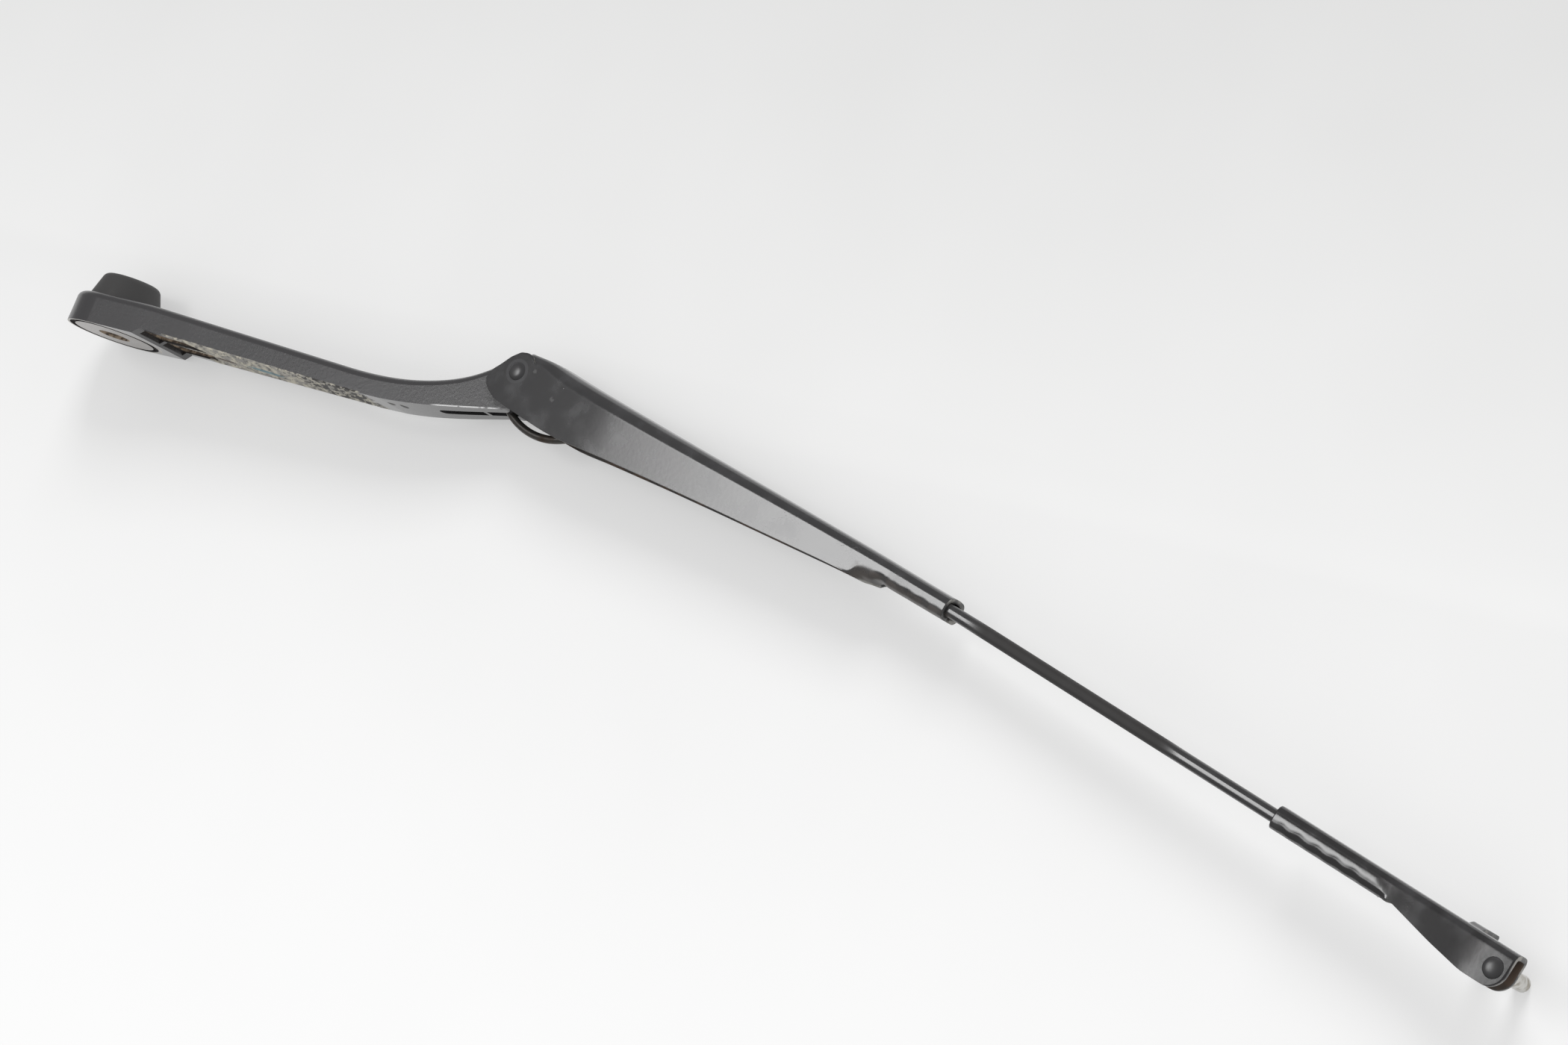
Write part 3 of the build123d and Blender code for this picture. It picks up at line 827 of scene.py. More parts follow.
@dataclass
class FoldedSheet:
    """A sheet folded to a U or wrapped to a tube along a pitched frame.

    The half section runs from the middle of the top: flat to the upper bend, a quarter turn, the side wall with a
    parabolic bulge, then a lower bend of a set angle, whose turn grows as a power of the distance, and a straight run
    to the edge. Each size is a function of the station.
    """

    frame: PitchedFrame
    half_width: Profile
    top: Profile
    upper_bend: Profile
    wall_end: Profile
    lower_radius: Profile
    lower_turn: Profile
    lower_run: Profile
    lower_ease: Profile
    bulge: Profile
    columns: tuple[int, int, int, int] = (10, 14, 22, 16)
    crown: float = 0.25

    def shares(self) -> tuple[np.ndarray, ...]:
        """Places of the half section's points on its four stretches.

        Returns:
            Fractions along each stretch.
        """
        flat, bend, wall, lower = self.columns
        ends = [np.arange(n) / n for n in (flat, bend, wall)]
        return (*ends, np.arange(lower + 1) / lower)

    def half(self, x: np.ndarray) -> tuple[np.ndarray, np.ndarray]:
        """Offsets and heights of the half section at each point's own station.

        Args:
            x: stations, one row for each section and one column for each point of it.

        Returns:
            Distances from the middle plane and heights, mm.
        """
        flat, bend, wall, lower = self.shares()
        a, b, c = np.cumsum(self.columns[:3])
        xa, xb, xc, xd = x[:, :a], x[:, a:b], x[:, b:c], x[:, c:]
        r = self.upper_bend(xa)
        y_flat = flat * (self.half_width(xa) - r)
        z_flat = self.top(xa) + self.crown * (1.0 - flat**2)
        r, turn = self.upper_bend(xb), bend * math.pi / 2.0
        y_bend = self.half_width(xb) - r + r * np.sin(turn)
        z_bend = self.top(xb) - r + r * np.cos(turn)
        shoulder = self.top(xc) - self.upper_bend(xc)
        y_wall = self.half_width(xc) + self.bulge(xc) * (1.0 - (2.0 * wall - 1.0) ** 2)
        z_wall = shoulder + wall * (self.wall_end(xc) - shoulder)
        arc = np.maximum(self.lower_radius(xd) * self.lower_turn(xd), 1e-6)
        length = lower * (arc + self.lower_run(xd))
        turned = self.lower_turn(xd) * np.minimum(length / arc, 1.0) ** self.lower_ease(xd)
        y_low = self.half_width(xd) - self.travelled(np.sin(turned), length)
        z_low = self.wall_end(xd) - self.travelled(np.cos(turned), length)
        y = np.concatenate([y_flat, y_bend, y_wall, y_low], axis=1)
        z = np.concatenate([z_flat, z_bend, z_wall, z_low], axis=1)
        return y, z

    @staticmethod
    def travelled(rate: np.ndarray, length: np.ndarray) -> np.ndarray:
        """Running sum of a rate over the length along each row, by the mean of neighbouring rates."""
        steps = 0.5 * (rate[:, 1:] + rate[:, :-1]) * np.diff(length, axis=1)
        return np.concatenate([np.zeros((len(rate), 1)), np.cumsum(steps, axis=1)], axis=1)

    def grid(self, x: np.ndarray) -> np.ndarray:
        """Points of the whole sheet, from the far edge over the top to the near edge.

        Args:
            x: stations, one row for each section and one column for each point of its half.

        Returns:
            Grid of points in metres.
        """
        y, z = self.half(x)
        both = [np.concatenate([side[:, ::-1], side[:, 1:]], axis=1) for side in (x, z)]
        across = np.concatenate([y[:, ::-1], -y[:, 1:]], axis=1)
        return self.frame.place(both[0], across, both[1])

    def width(self) -> int:
        """Number of points in the half section."""
        return sum(self.columns) + 1


@dataclass
class Channel:
    """The folded channel: hood, ears at the pivot, side walls and the tube wrapped round the rod.

    Stations and heights are in the arm's frame, mm. A pair of stations is where a change starts and ends, and a soft
    size is how far a corner is spread each way.
    """

    sheet: float = 1.4
    hinge_half_width: float = 8.2
    tube_half_width: float = 5.3
    taper: Pair = (36.0, 148.0)
    taper_soft: float = 6.0
    taper_sharp: Pair = (60.0, 100.0)
    top: Line = (
        (0.0, 3.0, 6.0, 10.0, 15.0, 26.0, 60.0, 100.0, 140.0, 160.0, 170.0),
        (6.9, 7.25, 7.75, 8.0, 7.85, 7.6, 7.55, 7.75, 7.75, 7.5, 7.45),
    )
    top_soft: float = 3.0
    hood_middle: float = 3.6
    hood_front: float = 1.0
    hood_shoulder: float = 4.5
    hood_end: float = 20.0
    bend: Line = (
        (4.0, 16.0, 40.0, 120.0, 150.0),
        (2.4, 4.3, 4.3, 2.9, 2.6),
    )
    foot: Line = (
        (-9.0, 1.5, 5.3, 20.0, 26.0, 35.0, 58.7, 82.1, 105.0, 127.4, 138.0, 141.5, 143.4),
        (-10.9, -10.96, -11.2, -11.7, -11.45, -10.25, -7.9, -5.85, -4.0, -2.15, -1.6, -0.9, -0.3),
    )
    foot_soft: float = 4.0
    curl: Line = (
        (135.6, 136.3, 136.8, 137.8, 139.5, 141.3, 145.2, 149.0),
        (-0.6, 0.0, 1.4, 2.9, 3.8, 4.2, 3.9, 3.4),
    )
    curl_soft: float = 0.8
    curl_lip: float = 1.2
    curl_radius: float = 4.9
    curl_turn: float = 58.0
    curl_rises: Pair = (130.0, 136.5)
    curl_turns: Pair = (131.0, 142.5)
    curl_tightens: float = 141.0
    curl_rounds: float = 142.0
    tab_end: float = 143.4
    tube_start: float = 146.6
    tube_end: float = 169.5
    tube_bottom: float = 0.6
    seam: float = 0.8
    crimp_pitch: float = 5.9
    crimp_height: float = 0.25
    crimp_in: Pair = (149.0, 152.0)
    crimp_out: Pair = (165.0, 168.5)
    ear_top: Line = (
        (-8.85, -8.7, -8.2, -6.74, -4.67, -2.16, 0.0, 0.9, 2.4, 3.6, 4.6),
        (-4.9, -3.78, -2.8, -0.69, 2.94, 5.64, 6.4, 6.5, 6.3, 5.9, 5.3),
    )
    ear_low: Line = (
        (-8.85, -8.7, -8.3, -7.2, -5.56, -2.67, 1.55, 4.6),
        (-6.2, -6.8, -7.5, -8.5, -9.45, -10.6, -10.96, -11.15),
    )
    ear_soft: float = 0.25
    ear_join: float = 2.6
    ear_rows: int = 44
    fine_from: float = 134.0
    rows: tuple[int, int, int] = (24, 32, 118)

    def half_width(self, x: np.ndarray) -> np.ndarray:
        """Constant at the hinge, then a straight taper to the tube, with a long soft start."""
        soft = self.taper_soft * (1.0 - ease(x, *self.taper_sharp))
        return soft_line(x, (self.taper, (self.hinge_half_width, self.tube_half_width)), soft, 13)

    def upper_bend(self, x: np.ndarray) -> np.ndarray:
        """Radius of the bend between top and walls: tight at the hood's front, wide behind it, tight at the tube."""
        return soft_line(x, self.bend, self.top_soft)

    def top_height(self, x: np.ndarray) -> np.ndarray:
        """Nearly level along a soft line through the given heights, with the hood drooping at its front."""
        return soft_line(x, self.top, self.top_soft)

    def edge(self, x: np.ndarray) -> np.ndarray:
        """Height of the walls' lower edge, a line through the foot points with soft corners."""
        return soft_line(x, self.foot, self.foot_soft, 9)

    def crimp(self, x: np.ndarray) -> np.ndarray:
        """Crimp marks in the height where the tube's lower bend starts."""
        return self.crimp_height * crimp_wave(x, self.tube_start, self.crimp_pitch, self.crimp_in, self.crimp_out)

    def wall_end(self, x: np.ndarray) -> np.ndarray:
        """Where the wall starts to curl: just over its edge, rising through the curl to the tube.

        Args:
            x: stations.

        Returns:
            Heights at them.
        """
        low = self.edge(x) + self.curl_lip
        high = soft_line(x, self.curl, self.curl_soft)
        return low + ease(x, *self.curl_rises) * (high - low) + self.crimp(x)

    def drop_share(self, x: np.ndarray) -> np.ndarray:
        """Drop of the curl's arc as a share of its length times its angle: the mean cosine of its turn.

        Args:
            x: stations.

        Returns:
            Shares at them.
        """
        step = (np.arange(16) + 0.5) / 16.0
        turned = self.lower_turn(x)[..., None] * step ** self.lower_ease(x)[..., None]
        return np.cos(turned).mean(axis=-1) * np.maximum(self.lower_turn(x), 1e-3)

    def lower_radius(self, x: np.ndarray) -> np.ndarray:
        """Radius of the curl: large, as far as the height over the foot line allows, and tight round the rod.

        Args:
            x: stations.

        Returns:
            Radii at them.
        """
        tight = self.curl[1][-1] - self.tube_bottom + self.crimp(x)
        wide = np.minimum(self.curl_radius, (self.wall_end(x) - self.edge(x) - 0.3) / self.drop_share(x))
        return tight + (wide - tight) * (1.0 - ease(x, self.curl_tightens, self.tube_start))

    def lower_turn(self, x: np.ndarray) -> np.ndarray:
        """Angle of the curl: none on the wall, the curl's own in the curl, a right angle at the tube."""
        part = self.curl_turn * ease(x, *self.curl_turns)
        return np.radians(part + (90.0 - part) * ease(x, self.tab_end, self.tube_start))

    def lower_run(self, x: np.ndarray) -> np.ndarray:
        """Straight run after the curl: to the foot line on the wall, to the seam under the tube.

        Args:
            x: stations.

        Returns:
            Lengths at them.
        """
        radius = self.lower_radius(x)
        free = self.wall_end(x) - radius * self.drop_share(x) - self.edge(x)
        free = np.maximum(free, 0.2) / np.maximum(np.cos(self.lower_turn(x)), 0.35)
        under = self.tube_half_width - radius - self.seam
        share = ease(x, self.tab_end, self.tube_start)
        return free * (1.0 - share) + under * share

    def lower_ease(self, x: np.ndarray) -> np.ndarray:
        """Power of the turn: a soft start in the curl, a plain arc round the rod."""
        return 1.0 + 0.8 * (1.0 - ease(x, self.curl_rounds, self.tube_start))

    def bulge(self, x: np.ndarray) -> np.ndarray:
        """Flat walls."""
        return 0.0 * x

    def ears(self, surface: Surface, folded: FoldedSheet) -> None:
        """Adds the two flat ears: between an upper and a lower outline, with the wall's own columns.

        Args:
            surface: the surface that they join.
            folded: the folded part that they continue.
        """
        start = sum(folded.columns[:2])
        _, z = folded.half(np.full((1, folded.width()), self.hood_shoulder))
        wall = z[0, start:]
        share = ((wall[0] - wall) / (wall[0] - wall[-1]))[None, :]
        turn = np.linspace(0.0, math.pi / 2.0, self.ear_rows)[:, None]
        left = self.ear_top[0][0]
        x = left + (self.hood_shoulder - left) * (1.0 - np.cos(turn))
        upper, lower = (soft_line(x, line, self.ear_soft, 2) for line in (self.ear_top, self.ear_low))
        join = ease(x, self.ear_join, self.hood_shoulder)
        upper = upper + join * (wall[0] - upper)
        lower = lower + join * (wall[-1] - lower)
        z = upper + share * (lower - upper)
        for side in Side:
            y = side.value * np.full_like(z, self.hinge_half_width)
            surface.add(ARM.place(x + 0.0 * z, y, z), flip=side is Side.FAR)

    def hood_edge(self, folded: FoldedSheet) -> np.ndarray:
        """Front edge of the hood: set back in the middle, forward at the bends and back at the ears' corners.

        Args:
            folded: the folded part that it ends.

        Returns:
            Station of the edge at each point of the half section.
        """
        flat, bend, *_ = folded.columns
        count = np.arange(folded.width())
        over = ease(count / flat, 0.7, 1.0)
        down = ease((count - flat) / bend, 0.5, 1.0)
        forward = self.hood_middle + over * (self.hood_front - self.hood_middle)
        return forward + down * (self.hood_shoulder - self.hood_front)

    def build(self, *finishes: bpy.types.Material) -> bpy.types.Object:
        """Makes the channel as one thick sheet.

        Args:
            finishes: materials of its outer faces, cut edges and inner faces.

        Returns:
            The channel.
        """
        folded = FoldedSheet(
            ARM, self.half_width, self.top_height, self.upper_bend, self.wall_end, self.lower_radius,
            self.lower_turn, self.lower_run, self.lower_ease, self.bulge,
        )
        hood_rows, wall_rows, tube_rows = self.rows
        front = self.hood_edge(folded)[None, :]
        hood = front + np.linspace(0.0, 1.0, hood_rows)[:, None] * (self.hood_end - front)
        walls = np.linspace(self.hood_end, self.fine_from, wall_rows)[1:]
        rest = np.concatenate([walls, np.linspace(self.fine_from, self.tube_end, tube_rows)[1:]])
        x = np.concatenate([hood, np.repeat(rest[:, None], folded.width(), axis=1)])
        surface = Surface("channel_shell")
        surface.add(folded.grid(x))
        self.ears(surface, folded)
        piece = surface.object(*finishes)
        thicken(piece, self.sheet)
        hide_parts("arm_channel")
        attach(piece, "arm")
        return piece


@dataclass
class TipSleeve:
    """The sleeve crimped on the rod, opening to a U that carries the side pin, with its locking strap.

    Stations and heights are in the tip's frame, mm, and the nose is the centre and radius of the round end.
    """

    sheet: float = 1.4
    start: float = 113.0
    crimp_end: float = 148.5
    open_end: float = 152.5
    end: float = 191.4
    tube_half_width: float = 5.3
    tip_half_width: float = 4.05
    flare: Pair = (151.0, 178.0)
    flare_soft: float = 3.5
    top: float = 3.5
    crown: float = 0.1
    tube_bottom: float = -3.4
    bend: float = 2.2
    foot: Line = (
        (146.0, 148.0, 150.0, 152.5, 168.6, 179.5, 195.0),
        (-4.1, -4.2, -3.4, -2.4, -6.1, -8.1, -8.1),
    )
    foot_soft: float = 1.5
    foot_lip: float = 0.9
    foot_starts: Pair = (149.6, 154.0)
    run_soft: float = 1.5
    seam: float = 0.8
    crimp_pitch: float = 6.2
    crimp_height: float = 0.5
    crimp_in: Pair = (114.0, 117.0)
    crimp_out: Pair = (143.0, 147.0)
    tube_bulge: float = 0.09
    bulge_out: Pair = (147.0, 152.0)
    pin: Pair = (187.2, -2.9)
    nose: Triple = (186.2, -2.9, 5.2)
    nose_section: float = 185.0
    strap_x: Pair = (172.8, 177.3)
    strap: tuple[Pair, ...] = ((1.0, 3.5), (2.1, 3.6), (4.05, 4.5), (14.1, 4.5), (14.1, -1.5))
    strap_bend: float = 2.2
    breaks: Triple = (146.0, 156.0, 180.0)
    rows: tuple[int, int, int, int] = (104, 44, 26, 20)

    def half_width(self, x: np.ndarray) -> np.ndarray:
        """Tube width, then a taper through the flare with soft ends."""
        return soft_line(x, (self.flare, (self.tube_half_width, self.tip_half_width)), self.flare_soft, 11)

    def top_height(self, x: np.ndarray) -> np.ndarray:
        """Level."""
        return self.top + 0.0 * x

    def edge(self, x: np.ndarray) -> np.ndarray:
        """Height of the walls' lower edge behind the tube, with soft corners."""
        return soft_line(x, self.foot, self.foot_soft)

    def wall_end(self, x: np.ndarray) -> np.ndarray:
        """Where the lower bend starts: over the tube's bottom, then just over the lower edge."""
        tube = self.tube_bottom + self.lower_radius(x)
        return tube + (self.edge(x) + self.foot_lip - tube) * ease(x, *self.foot_starts)

    def lower_radius(self, x: np.ndarray) -> np.ndarray:
        """The tube's lower bend, with the crimp marks along it."""
        wave = crimp_wave(x, self.start, self.crimp_pitch, self.crimp_in, self.crimp_out)
        return self.bend + self.crimp_height * wave

    def lower_turn(self, x: np.ndarray) -> np.ndarray:
        """A right angle round the rod, opening to none."""
        return np.radians(90.0 * (1.0 - ease(x, self.crimp_end, self.open_end)))

    def lower_run(self, x: np.ndarray) -> np.ndarray:
        """Straight run after the bend: to the seam under the tube, to the edge behind it.

        Args:
            x: stations.

        Returns:
            Lengths at them.
        """
        angle, radius = self.lower_turn(x), self.lower_radius(x)
        under = self.tube_half_width - radius - self.seam
        free = self.wall_end(x) - radius * np.sin(angle) - self.edge(x)
        free = np.maximum(free / np.maximum(np.cos(angle), 0.35), 0.3)
        share = ease(x, self.crimp_end - self.run_soft, self.crimp_end + self.run_soft)
        return under * (1.0 - share) + free * share

    def upper_bend(self, x: np.ndarray) -> np.ndarray:
        """Radius of the bend between top and walls."""
        return self.bend + 0.0 * x

    def lower_ease(self, x: np.ndarray) -> np.ndarray:
        """Power of the turn: a plain arc."""
        return 1.0 + 0.0 * x

    def bulge(self, x: np.ndarray) -> np.ndarray:
        """Rounded walls on the tube, flat ones behind it."""
        return self.tube_bulge * (1.0 - ease(x, *self.bulge_out))

    def strap_grid(self) -> np.ndarray:
        """The strap's upper face: a path over the far side with rounded corners, carried along the sleeve.

        Returns:
            Grid of points in metres.
        """
        path = np.array(self.strap)
        runs = np.linalg.norm(np.diff(path, axis=0), axis=1)
        at = np.concatenate([[0.0], np.cumsum(runs)])
        fine = np.linspace(0.0, at[-1], 60)
        y, z = (soft_line(fine, (at, path[:, k]), self.strap_bend / 2.0, 11) for k in (0, 1))
        x = np.linspace(*self.strap_x, 10)[:, None]
        return TIP.place(x, y[None, :], z[None, :])

    def build(self, *finishes: bpy.types.Material) -> bpy.types.Object:
        """Makes the sleeve and its strap as one thick sheet.

        Args:
            finishes: materials of its outer faces, cut edges and inner faces.

        Returns:
            The sleeve.
        """
        folded = FoldedSheet(
            TIP, self.half_width, self.top_height, self.upper_bend, self.wall_end, self.lower_radius,
            self.lower_turn, self.lower_run, self.lower_ease, self.bulge, crown=self.crown,
        )
        opening, flaring, last = self.breaks
        tube_rows, opening_rows, flare_rows, nose_rows = self.rows
        rows = np.concatenate([
            np.linspace(self.start, opening, tube_rows),
            np.linspace(opening, flaring, opening_rows)[1:],
            np.linspace(flaring, last, flare_rows)[1:],
        ])
        _, z = folded.half(np.full((1, folded.width()), self.nose_section))
        centre, low, radius = self.nose
        fall = np.clip(low - z, 0.0, radius)
        end = np.where(z > low, self.end, centre + np.sqrt(np.maximum(radius**2 - fall**2, 0.0)))
        nose = last + np.linspace(0.0, 1.0, nose_rows)[1:, None] * (end - last)
        x = np.concatenate([np.repeat(rows[:, None], folded.width(), axis=1), nose])
        surface = Surface("tip_shell")
        surface.add(folded.grid(x))
        surface.add(self.strap_grid(), flip=True)
        piece = surface.object(*finishes)
        thicken(piece, self.sheet)
        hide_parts("tip_sleeve")
        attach(piece, "arm")
        return piece


@dataclass
class Spring:
    """The tension spring as one coiled wire with a loop on the link and a hook in the rod, sizes in mm."""

    loop_point: Pair = PLANE.spring()[0]
    hook_point: Pair = PLANE.spring()[1]
    wire: float = 0.75
    coil_radius: float = 2.0
    pitch: float = 1.62
    turn_points: int = 22
    loop: float = 8.0
    tail: float = 20.0
    overlap: float = 0.4
    leg: float = 3.15
    bend: float = 1.6
    rise: float = 1.3

    def axes(self) -> tuple[np.ndarray, np.ndarray, np.ndarray, float]:
        """The pull's own axes.

        Returns:
            Direction of the pull, the direction square to it in the side plane, +Y, and the length.
        """
        run = np.array(self.hook_point) - np.array(self.loop_point)
        length = float(np.linalg.norm(run))
        pull = np.array([run[0], 0.0, run[1]]) / length
        return pull, np.array([-pull[2], 0.0, pull[0]]), np.array([0.0, 1.0, 0.0]), length

    def tube(self, path: np.ndarray, out: np.ndarray, sides: int = 10) -> np.ndarray:
        """A round wire: a circle in the plane of out and the direction square to it, carried along the path.

        Args:
            path: points of the wire's middle line, mm in the pull's own axes.
            out: a direction square to the path at each point.
            sides: points of the circle.

        Returns:
            Grid of points in metres.
        """
        pull, up, side, _ = self.axes()
        tangent = np.gradient(path, axis=0)
        tangent /= np.linalg.norm(tangent, axis=1, keepdims=True)
        out = out - (out * tangent).sum(axis=1, keepdims=True) * tangent
        out /= np.linalg.norm(out, axis=1, keepdims=True)
        third = np.cross(tangent, out)
        turn = np.linspace(0.0, 2.0 * math.pi, sides, endpoint=False)
        ring = np.cos(turn)[None, :, None] * out[:, None] + np.sin(turn)[None, :, None] * third[:, None]
        points = path[:, None] + self.wire * ring
        base = np.array([self.loop_point[0], 0.0, self.loop_point[1]])
        return (base + points @ np.array([pull, side, up])) * MM

    def coil(self) -> np.ndarray:
        """Helix: the angle grows evenly with the distance along the pull.

        Returns:
            Grid of points in metres.
        """
        length = self.axes()[3] - self.loop - self.tail
        turns = round(length / self.pitch)
        t = np.linspace(0.0, 1.0, turns * self.turn_points)
        angle = 2.0 * math.pi * turns * t
        across, high = np.cos(angle), np.sin(angle)
        path = np.stack([self.loop + length * t, self.coil_radius * across, self.coil_radius * high], axis=1)
        return self.tube(path, np.stack([0.0 * t, across, high], axis=1))

    def end_loop(self) -> np.ndarray:
        """Two straight legs joined by a half circle in the plane of the pull and +Y.

        Returns:
            Grid of points in metres.
        """
        turn = np.linspace(math.pi / 2.0, 1.5 * math.pi, 30)
        legs = np.linspace(self.loop + self.overlap, self.leg, 8)
        x = np.concatenate([legs[:-1], self.leg + self.leg * np.cos(turn), legs[::-1][1:]])
        y = np.concatenate([np.full(7, self.leg), self.leg * np.sin(turn), np.full(7, -self.leg)])
        path = np.stack([x, y, 0.0 * x], axis=1)
        return self.tube(path, np.tile([0.0, 0.0, 1.0], (len(x), 1)))

    def end_hook(self) -> np.ndarray:
        """A straight leg below the coil and a quarter turn up through the rod's hole.

        Returns:
            Grid of points in metres.
        """
        length = self.axes()[3]
        start = length - self.tail - self.overlap
        turn = np.linspace(-math.pi / 2.0, 0.0, 14)
        straight = np.linspace(start, length - self.bend, 8)
        knee = self.bend - self.leg
        climb = np.linspace(knee, self.rise, 8)
        x = np.concatenate([straight[:-1], length - self.bend + self.bend * np.cos(turn), np.full(7, length)])
        z = np.concatenate([np.full(7, -self.leg), knee + self.bend * np.sin(turn), climb[1:]])
        path = np.stack([x, 0.0 * x, z], axis=1)
        return self.tube(path, np.tile([0.0, 1.0, 0.0], (len(x), 1)))

    def build(self, steel: bpy.types.Material) -> bpy.types.Object:
        """Makes the spring from its loop on the link to its hook in the rod.

        Args:
            steel: its finish.

        Returns:
            The spring.
        """
        surface = Surface("spring_coil")
        for part in (self.coil(), self.end_loop(), self.end_hook()):
            surface.add(part, wrap=True)
        piece = surface.object(steel)
        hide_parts("tension_spring")
        start, end = ((p[0] * MM, 0.0, p[1] * MM) for p in (self.loop_point, self.hook_point))
        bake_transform(piece)
        return piece


@dataclass
class PaintedDome:
    """Paint-filled riveted head on the near side: a round dome standing on a wall square to Y, sizes in mm."""

    name: str
    centre: Pair
    wall: float
    radius: float = 2.85
    height: float = 1.06
    step: float = 0.62
    edge_power: float = 8.0
    sunk: float = 0.3
    rings: int = 22
    spokes: int = 64

    def build(self, paint: bpy.types.Material) -> bpy.types.Object:
        """Makes the dome: a low cap, one minus the square of the share of the radius, on a step with a round edge.

        Args:
            paint: its finish.

        Returns:
            The dome.
        """
        share = np.concatenate([np.linspace(0.0, 1.0, self.rings), [1.0]])[:, None]
        turn = np.linspace(0.0, 2.0 * math.pi, self.spokes, endpoint=False)[None, :]
        rise = self.step * (1.0 - share**self.edge_power) + (self.height - self.step) * (1.0 - share**2)
        rise[-1] = -self.sunk
        x = self.centre[0] + self.radius * share * np.cos(turn)
        z = self.centre[1] + self.radius * share * np.sin(turn)
        y = self.wall - rise + 0.0 * turn
        surface = Surface(self.name)
        surface.add(np.stack([x, y, z], axis=-1) * MM, wrap=True)
        piece = surface.object(paint)
        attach(piece, "arm")
        return piece


@dataclass
class CarriedPieces:
    """Pieces that keep their solid's own shape and get a finish."""

    finishes: dict[str, bpy.types.Material]

    def dress(self) -> None:
        """Gives each node its finish."""
        for node, material in self.finishes.items():
            mesh = frame["nodes"][node].data
            mesh.materials.clear()
            mesh.materials.append(material)
            log.info("dressed %s with %s", node, material.name)


def stand(item: bpy.types.Object, side: Triple, over: Triple, back: Triple, spot: Triple) -> None:
    """Links an object to the scene at a spot.

    Args:
        item: the object.
        side: direction of its own X.
        over: direction of its own Y.
        back: direction of its own Z.
        spot: its place, m.
    """
    rows = np.vstack([np.column_stack([side, over, back, spot]), (0.0, 0.0, 0.0, 1.0)])
    item.matrix_world = Matrix(rows.tolist())
    bpy.context.scene.collection.objects.link(item)


def near_side(turn: float, lift: float) -> Triple:
    """Direction to the near side, turned towards -X and lifted, both in degrees."""
    round_z, up = math.radians(turn), math.radians(lift)
    return (-math.sin(round_z) * math.cos(up), -math.cos(round_z) * math.cos(up), math.sin(up))


@dataclass(frozen=True)
class SoftLight:
    """A rectangular soft light: direction to it, distance and size in metres, and power in watts."""

    name: str
    aim: Triple
    far: float
    size: Pair
    power: float
    mirrored: bool = True

    def build(self, middle: Triple) -> None:
        """Hangs the light so that it faces the arm's middle.

        Args:
            middle: the arm's middle, m.
        """
        data = bpy.data.lights.new(self.name, "AREA")
        data.shape = "RECTANGLE"
        data.size, data.size_y = self.size
        data.energy = self.power
        made = bpy.data.objects.new(self.name, data)
        ahead = np.array(self.aim) / np.linalg.norm(self.aim)
        side = np.cross((0.0, 0.0, 1.0), ahead)
        side /= np.linalg.norm(side)
        stand(made, side, np.cross(ahead, side), ahead, np.array(middle) + self.far * ahead)
        made.visible_glossy = self.mirrored


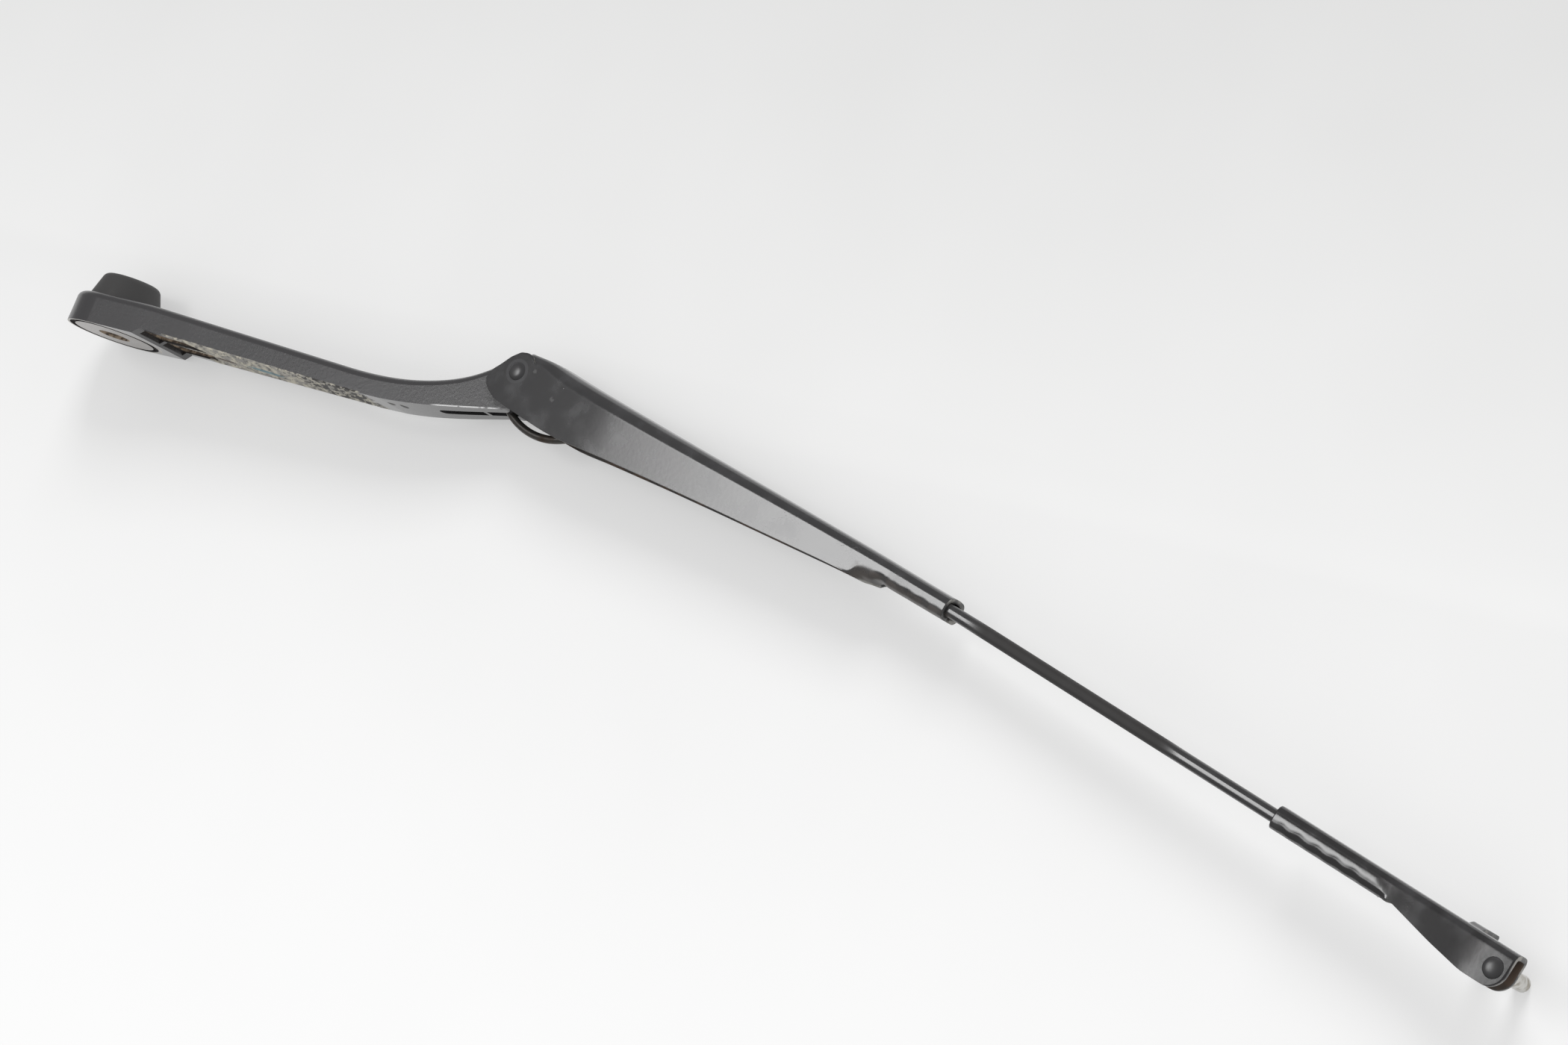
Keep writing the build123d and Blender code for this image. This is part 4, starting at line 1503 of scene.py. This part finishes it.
@dataclass
class Studio:
    """Camera, soft lights and the pale floor that the arm lies on, in metres.

    The contacts are the points that touch the floor, in mm. The sweep is the floor's bend behind the arm: its start,
    length and slope, and how much painted shade darkens its paper against the extra key light on the bend. The paper
    carries a painted light falloff: it darkens along a direction, between two places.
    """

    lens: float = 95.867
    sensor: float = 36.0
    clip_start: float = 0.01
    place: Triple = (0.906733, -1.020175, -0.163719)
    right: Triple = (0.82559608, 0.47068697, 0.31119912)
    up: Triple = (-0.20087312, -0.27021892, 0.94161124)
    forward: Triple = (-0.52729603, 0.83990209, 0.12854332)
    middle: Triple = (0.27, 0.0, -0.03)
    contacts: tuple[Triple, Triple, Triple] = (
        (1.0, 15.3, 8.7),
        (164.5, 8.2, 23.1),
        (515.1, 20.0, -75.3),
    )
    floor_size: float = 6.0
    sweep_start: float = 0.04
    sweep_length: float = 0.018
    sweep_turn: float = 0.27
    sweep_shade: float = 0.055
    paper: Colour = (0.79, 0.79, 0.79, 1.0)
    # Paper colour at the far end of the painted light falloff.
    shaded_paper: Colour = (0.435, 0.435, 0.431, 1.0)
    black: Colour = (0.0, 0.0, 0.0, 1.0)
    white: Colour = (1.0, 1.0, 1.0, 1.0)
    shade_way: Triple = (-0.012, -0.205, 0.983)
    shade_reach: Pair = (-0.30, 0.50)
    glow: float = 1.36
    glow_share: float = 0.36
    glossy_light: float = 0.28
    open_light: float = 0.76
    lights: tuple[SoftLight, ...] = (
        SoftLight("key", (0.147, -0.711, 0.687), far=2.2, size=(0.75, 0.75), power=30.0, mirrored=False),
        SoftLight("side_panel", near_side(24.9, 2.0), far=2.4, size=(0.70, 0.93), power=6.7),
        SoftLight("side_core", near_side(24.0, 5.0), far=2.38, size=(0.57, 0.67), power=3.93),
    )

    def camera(self) -> None:
        """Sets the camera at the picture's own viewpoint."""
        data = bpy.data.cameras.new("view")
        data.lens = self.lens
        data.sensor_width = self.sensor
        data.clip_start = self.clip_start
        made = bpy.data.objects.new("view", data)
        stand(made, self.right, self.up, tuple(-v for v in self.forward), self.place)
        bpy.context.scene.camera = made

    def world(self) -> None:
        """Pale surroundings that glossy reflections see dimmer."""
        made = bpy.data.worlds.new("studio")
        bpy.context.scene.world = made
        g = Graph("studio", made)
        glossy = g.node("ShaderNodeLightPath", out="Is Glossy Ray")
        strength = self.open_light + glossy * (self.glossy_light - self.open_light)
        light = g.node("ShaderNodeBackground", None, {"Color": self.white, "Strength": strength})
        g.node_output(light, "ShaderNodeOutputWorld")

    def floor_normal(self) -> np.ndarray:
        """Direction square to the floor that touches the disc, the far ear and the pin's end.

        Returns:
            The direction, towards the arm.
        """
        disc, ear, pin = np.array(self.contacts)
        normal = np.cross(pin - disc, ear - disc)
        return normal / np.linalg.norm(normal)

    def floor_grid(self, normal: np.ndarray, middle: np.ndarray) -> np.ndarray:
        """A plane whose upper part bends away from the folded arm.

        The drop grows as the square of the distance through the bend and evenly behind it.

        Args:
            normal: direction square to the floor.
            middle: point of the floor under the arm's middle.

        Returns:
            Grid of points in metres.
        """
        side = np.cross(normal, (1.0, 0.0, 0.0))
        side /= np.linalg.norm(side)
        ahead = np.cross(side, normal)
        spread = np.linspace(-self.floor_size, self.floor_size, 3)
        bend = self.sweep_start + np.linspace(0.0, self.sweep_length, 25)
        u, v = np.meshgrid(spread, np.concatenate([[-self.floor_size], bend, [self.floor_size]]), indexing="ij")
        through = np.clip(v - self.sweep_start, 0.0, self.sweep_length)
        behind = np.maximum(v - self.sweep_start - self.sweep_length, 0.0)
        drop = self.sweep_turn * (through**2 / (2.0 * self.sweep_length) + behind)
        return middle + u[..., None] * ahead + v[..., None] * side - drop[..., None] * normal

    def floor_paper(self, middle: np.ndarray) -> bpy.types.Material:
        """Pale paper that glows a little, with a painted light falloff towards the back, seen from its upper side
        alone.

        Args:
            middle: point of the floor under the arm's middle.

        Returns:
            The material.
        """
        g = Graph("floor_paper")
        product = {"operation": "DOT_PRODUCT"}
        away = g.node("ShaderNodeVectorMath", product, {0: g.place, 1: self.shade_way}, out="Value")
        # Painted light falloff: the paper is painted darker along a direction, as if lit unevenly.
        falloff_shade = (away + (g.noise(14.0, 2.0) - 0.5) * 0.05).rise(*self.shade_reach)
        bent = float(middle @ np.array(self.shade_way)) + self.sweep_start
        # Painted shade on the bend, against the extra key light that its tilt catches.
        bend_shade = away.rise(bent, bent + self.sweep_length) * self.sweep_shade
        shade = g.mix(bend_shade, g.mix(falloff_shade, self.paper, self.shaded_paper), self.black)
        paper = g.node("ShaderNodeBsdfDiffuse", None, {"Color": shade})
        glow = g.node("ShaderNodeEmission", None, {"Color": shade, "Strength": self.glow})
        paper = g.node("ShaderNodeMixShader", None, {0: self.glow_share, 1: paper, 2: glow})
        clear = g.node("ShaderNodeBsdfTransparent")
        backs = g.node("ShaderNodeNewGeometry", out="Backfacing")
        g.node_output(g.node("ShaderNodeMixShader", None, {0: backs, 1: paper, 2: clear}))
        return g.material

    def floor(self) -> None:
        """Lays the floor under the arm's lowest points."""
        normal = self.floor_normal()
        lowest = min(self.lowest(node, normal) for node in frame["nodes"].values())
        middle = np.array(self.middle)
        middle = middle + (lowest - middle @ normal) * normal
        surface = Surface("floor")
        surface.add(self.floor_grid(normal, middle), flip=True)
        surface.object(self.floor_paper(middle))

    @staticmethod
    def lowest(node: bpy.types.Object, normal: np.ndarray) -> float:
        """Least distance of a node's points along a direction.

        Args:
            node: the node's object.
            normal: the direction.

        Returns:
            The distance, m.
        """
        points = np.empty(len(node.data.vertices) * 3, dtype=np.float32)
        node.data.vertices.foreach_get("co", points)
        return float((points.reshape(-1, 3) @ normal).min())

    def build(self) -> None:
        """Sets up the whole studio."""
        bpy.context.scene.view_settings.view_transform = "Standard"
        self.camera()
        self.world()
        self.floor()
        for light in self.lights:
            light.build(self.middle)


def main() -> None:
    """Builds the studio and each piece."""
    logging.basicConfig(level=logging.INFO, format="%(message)s")
    Studio().build()
    arm_paint = SheetPaint().material("arm_paint")
    # The rod's paint: rougher over its dull stretch, and painted darker there as shade.
    rod_paint = SheetPaint(gloss=0.16, dull=0.5).material("rod_paint")
    # Painted shade: a darker copy of the arm's paint for the tip sleeve, whose walls catch less light.
    tip_paint = SheetPaint(colour=(0.013, 0.0122, 0.0126, 1.0)).material("tip_paint")
    rivet_paint = SheetPaint(gloss=0.3).material("rivet_paint")
    cut_edge = CutEdge().material("cut_edge")
    cast_paint = CastPaint().material("cast_paint")
    cap = MouldedPlastic().material("cap_plastic")
    dark_wire = Steel(
        colour=(0.09, 0.085, 0.08, 1.0), tarnish=(0.05, 0.035, 0.025, 1.0), rough=0.34, metal=0.75
    ).material("dark_wire")
    plain = Steel(
        colour=(0.42, 0.41, 0.39, 1.0), tarnish=(0.2, 0.15, 0.1, 1.0), rough=0.32
    ).material("plain_steel")
    zinc = RivetedPin().material("zinc_pin")
    inner_face = InnerFace().material("inner_face")
    channel, sleeve = Channel(), TipSleeve()
    rivet_dome = PaintedDome("rivet_dome", PLANE.pivot, wall=-channel.hinge_half_width)
    pin_dome = PaintedDome("pin_dome", TIP.spot(*sleeve.pin), wall=-sleeve.tip_half_width, radius=2.95)
    pieces = [
        channel.build(arm_paint, cut_edge, inner_face),
        sleeve.build(tip_paint, cut_edge, inner_face),
        Spring().build(dark_wire),
        rivet_dome.build(rivet_paint),
        pin_dome.build(rivet_paint),
    ]
    for piece in pieces:
        log.info("built %s with %d faces", piece.name, len(piece.data.polygons))
    carried = CarriedPieces({
        "mounting_head": cast_paint,
        "nut_cap": cap,
        "pivot_bushes": cap,
        "pivot_rivet": rivet_paint,
        "link_anchor_pin": plain,
        "spring_link": dark_wire,
        "blade_rod": rod_paint,
        "side_pin": zinc,
    })
    carried.dress()


if __name__ == "__main__":
    main()
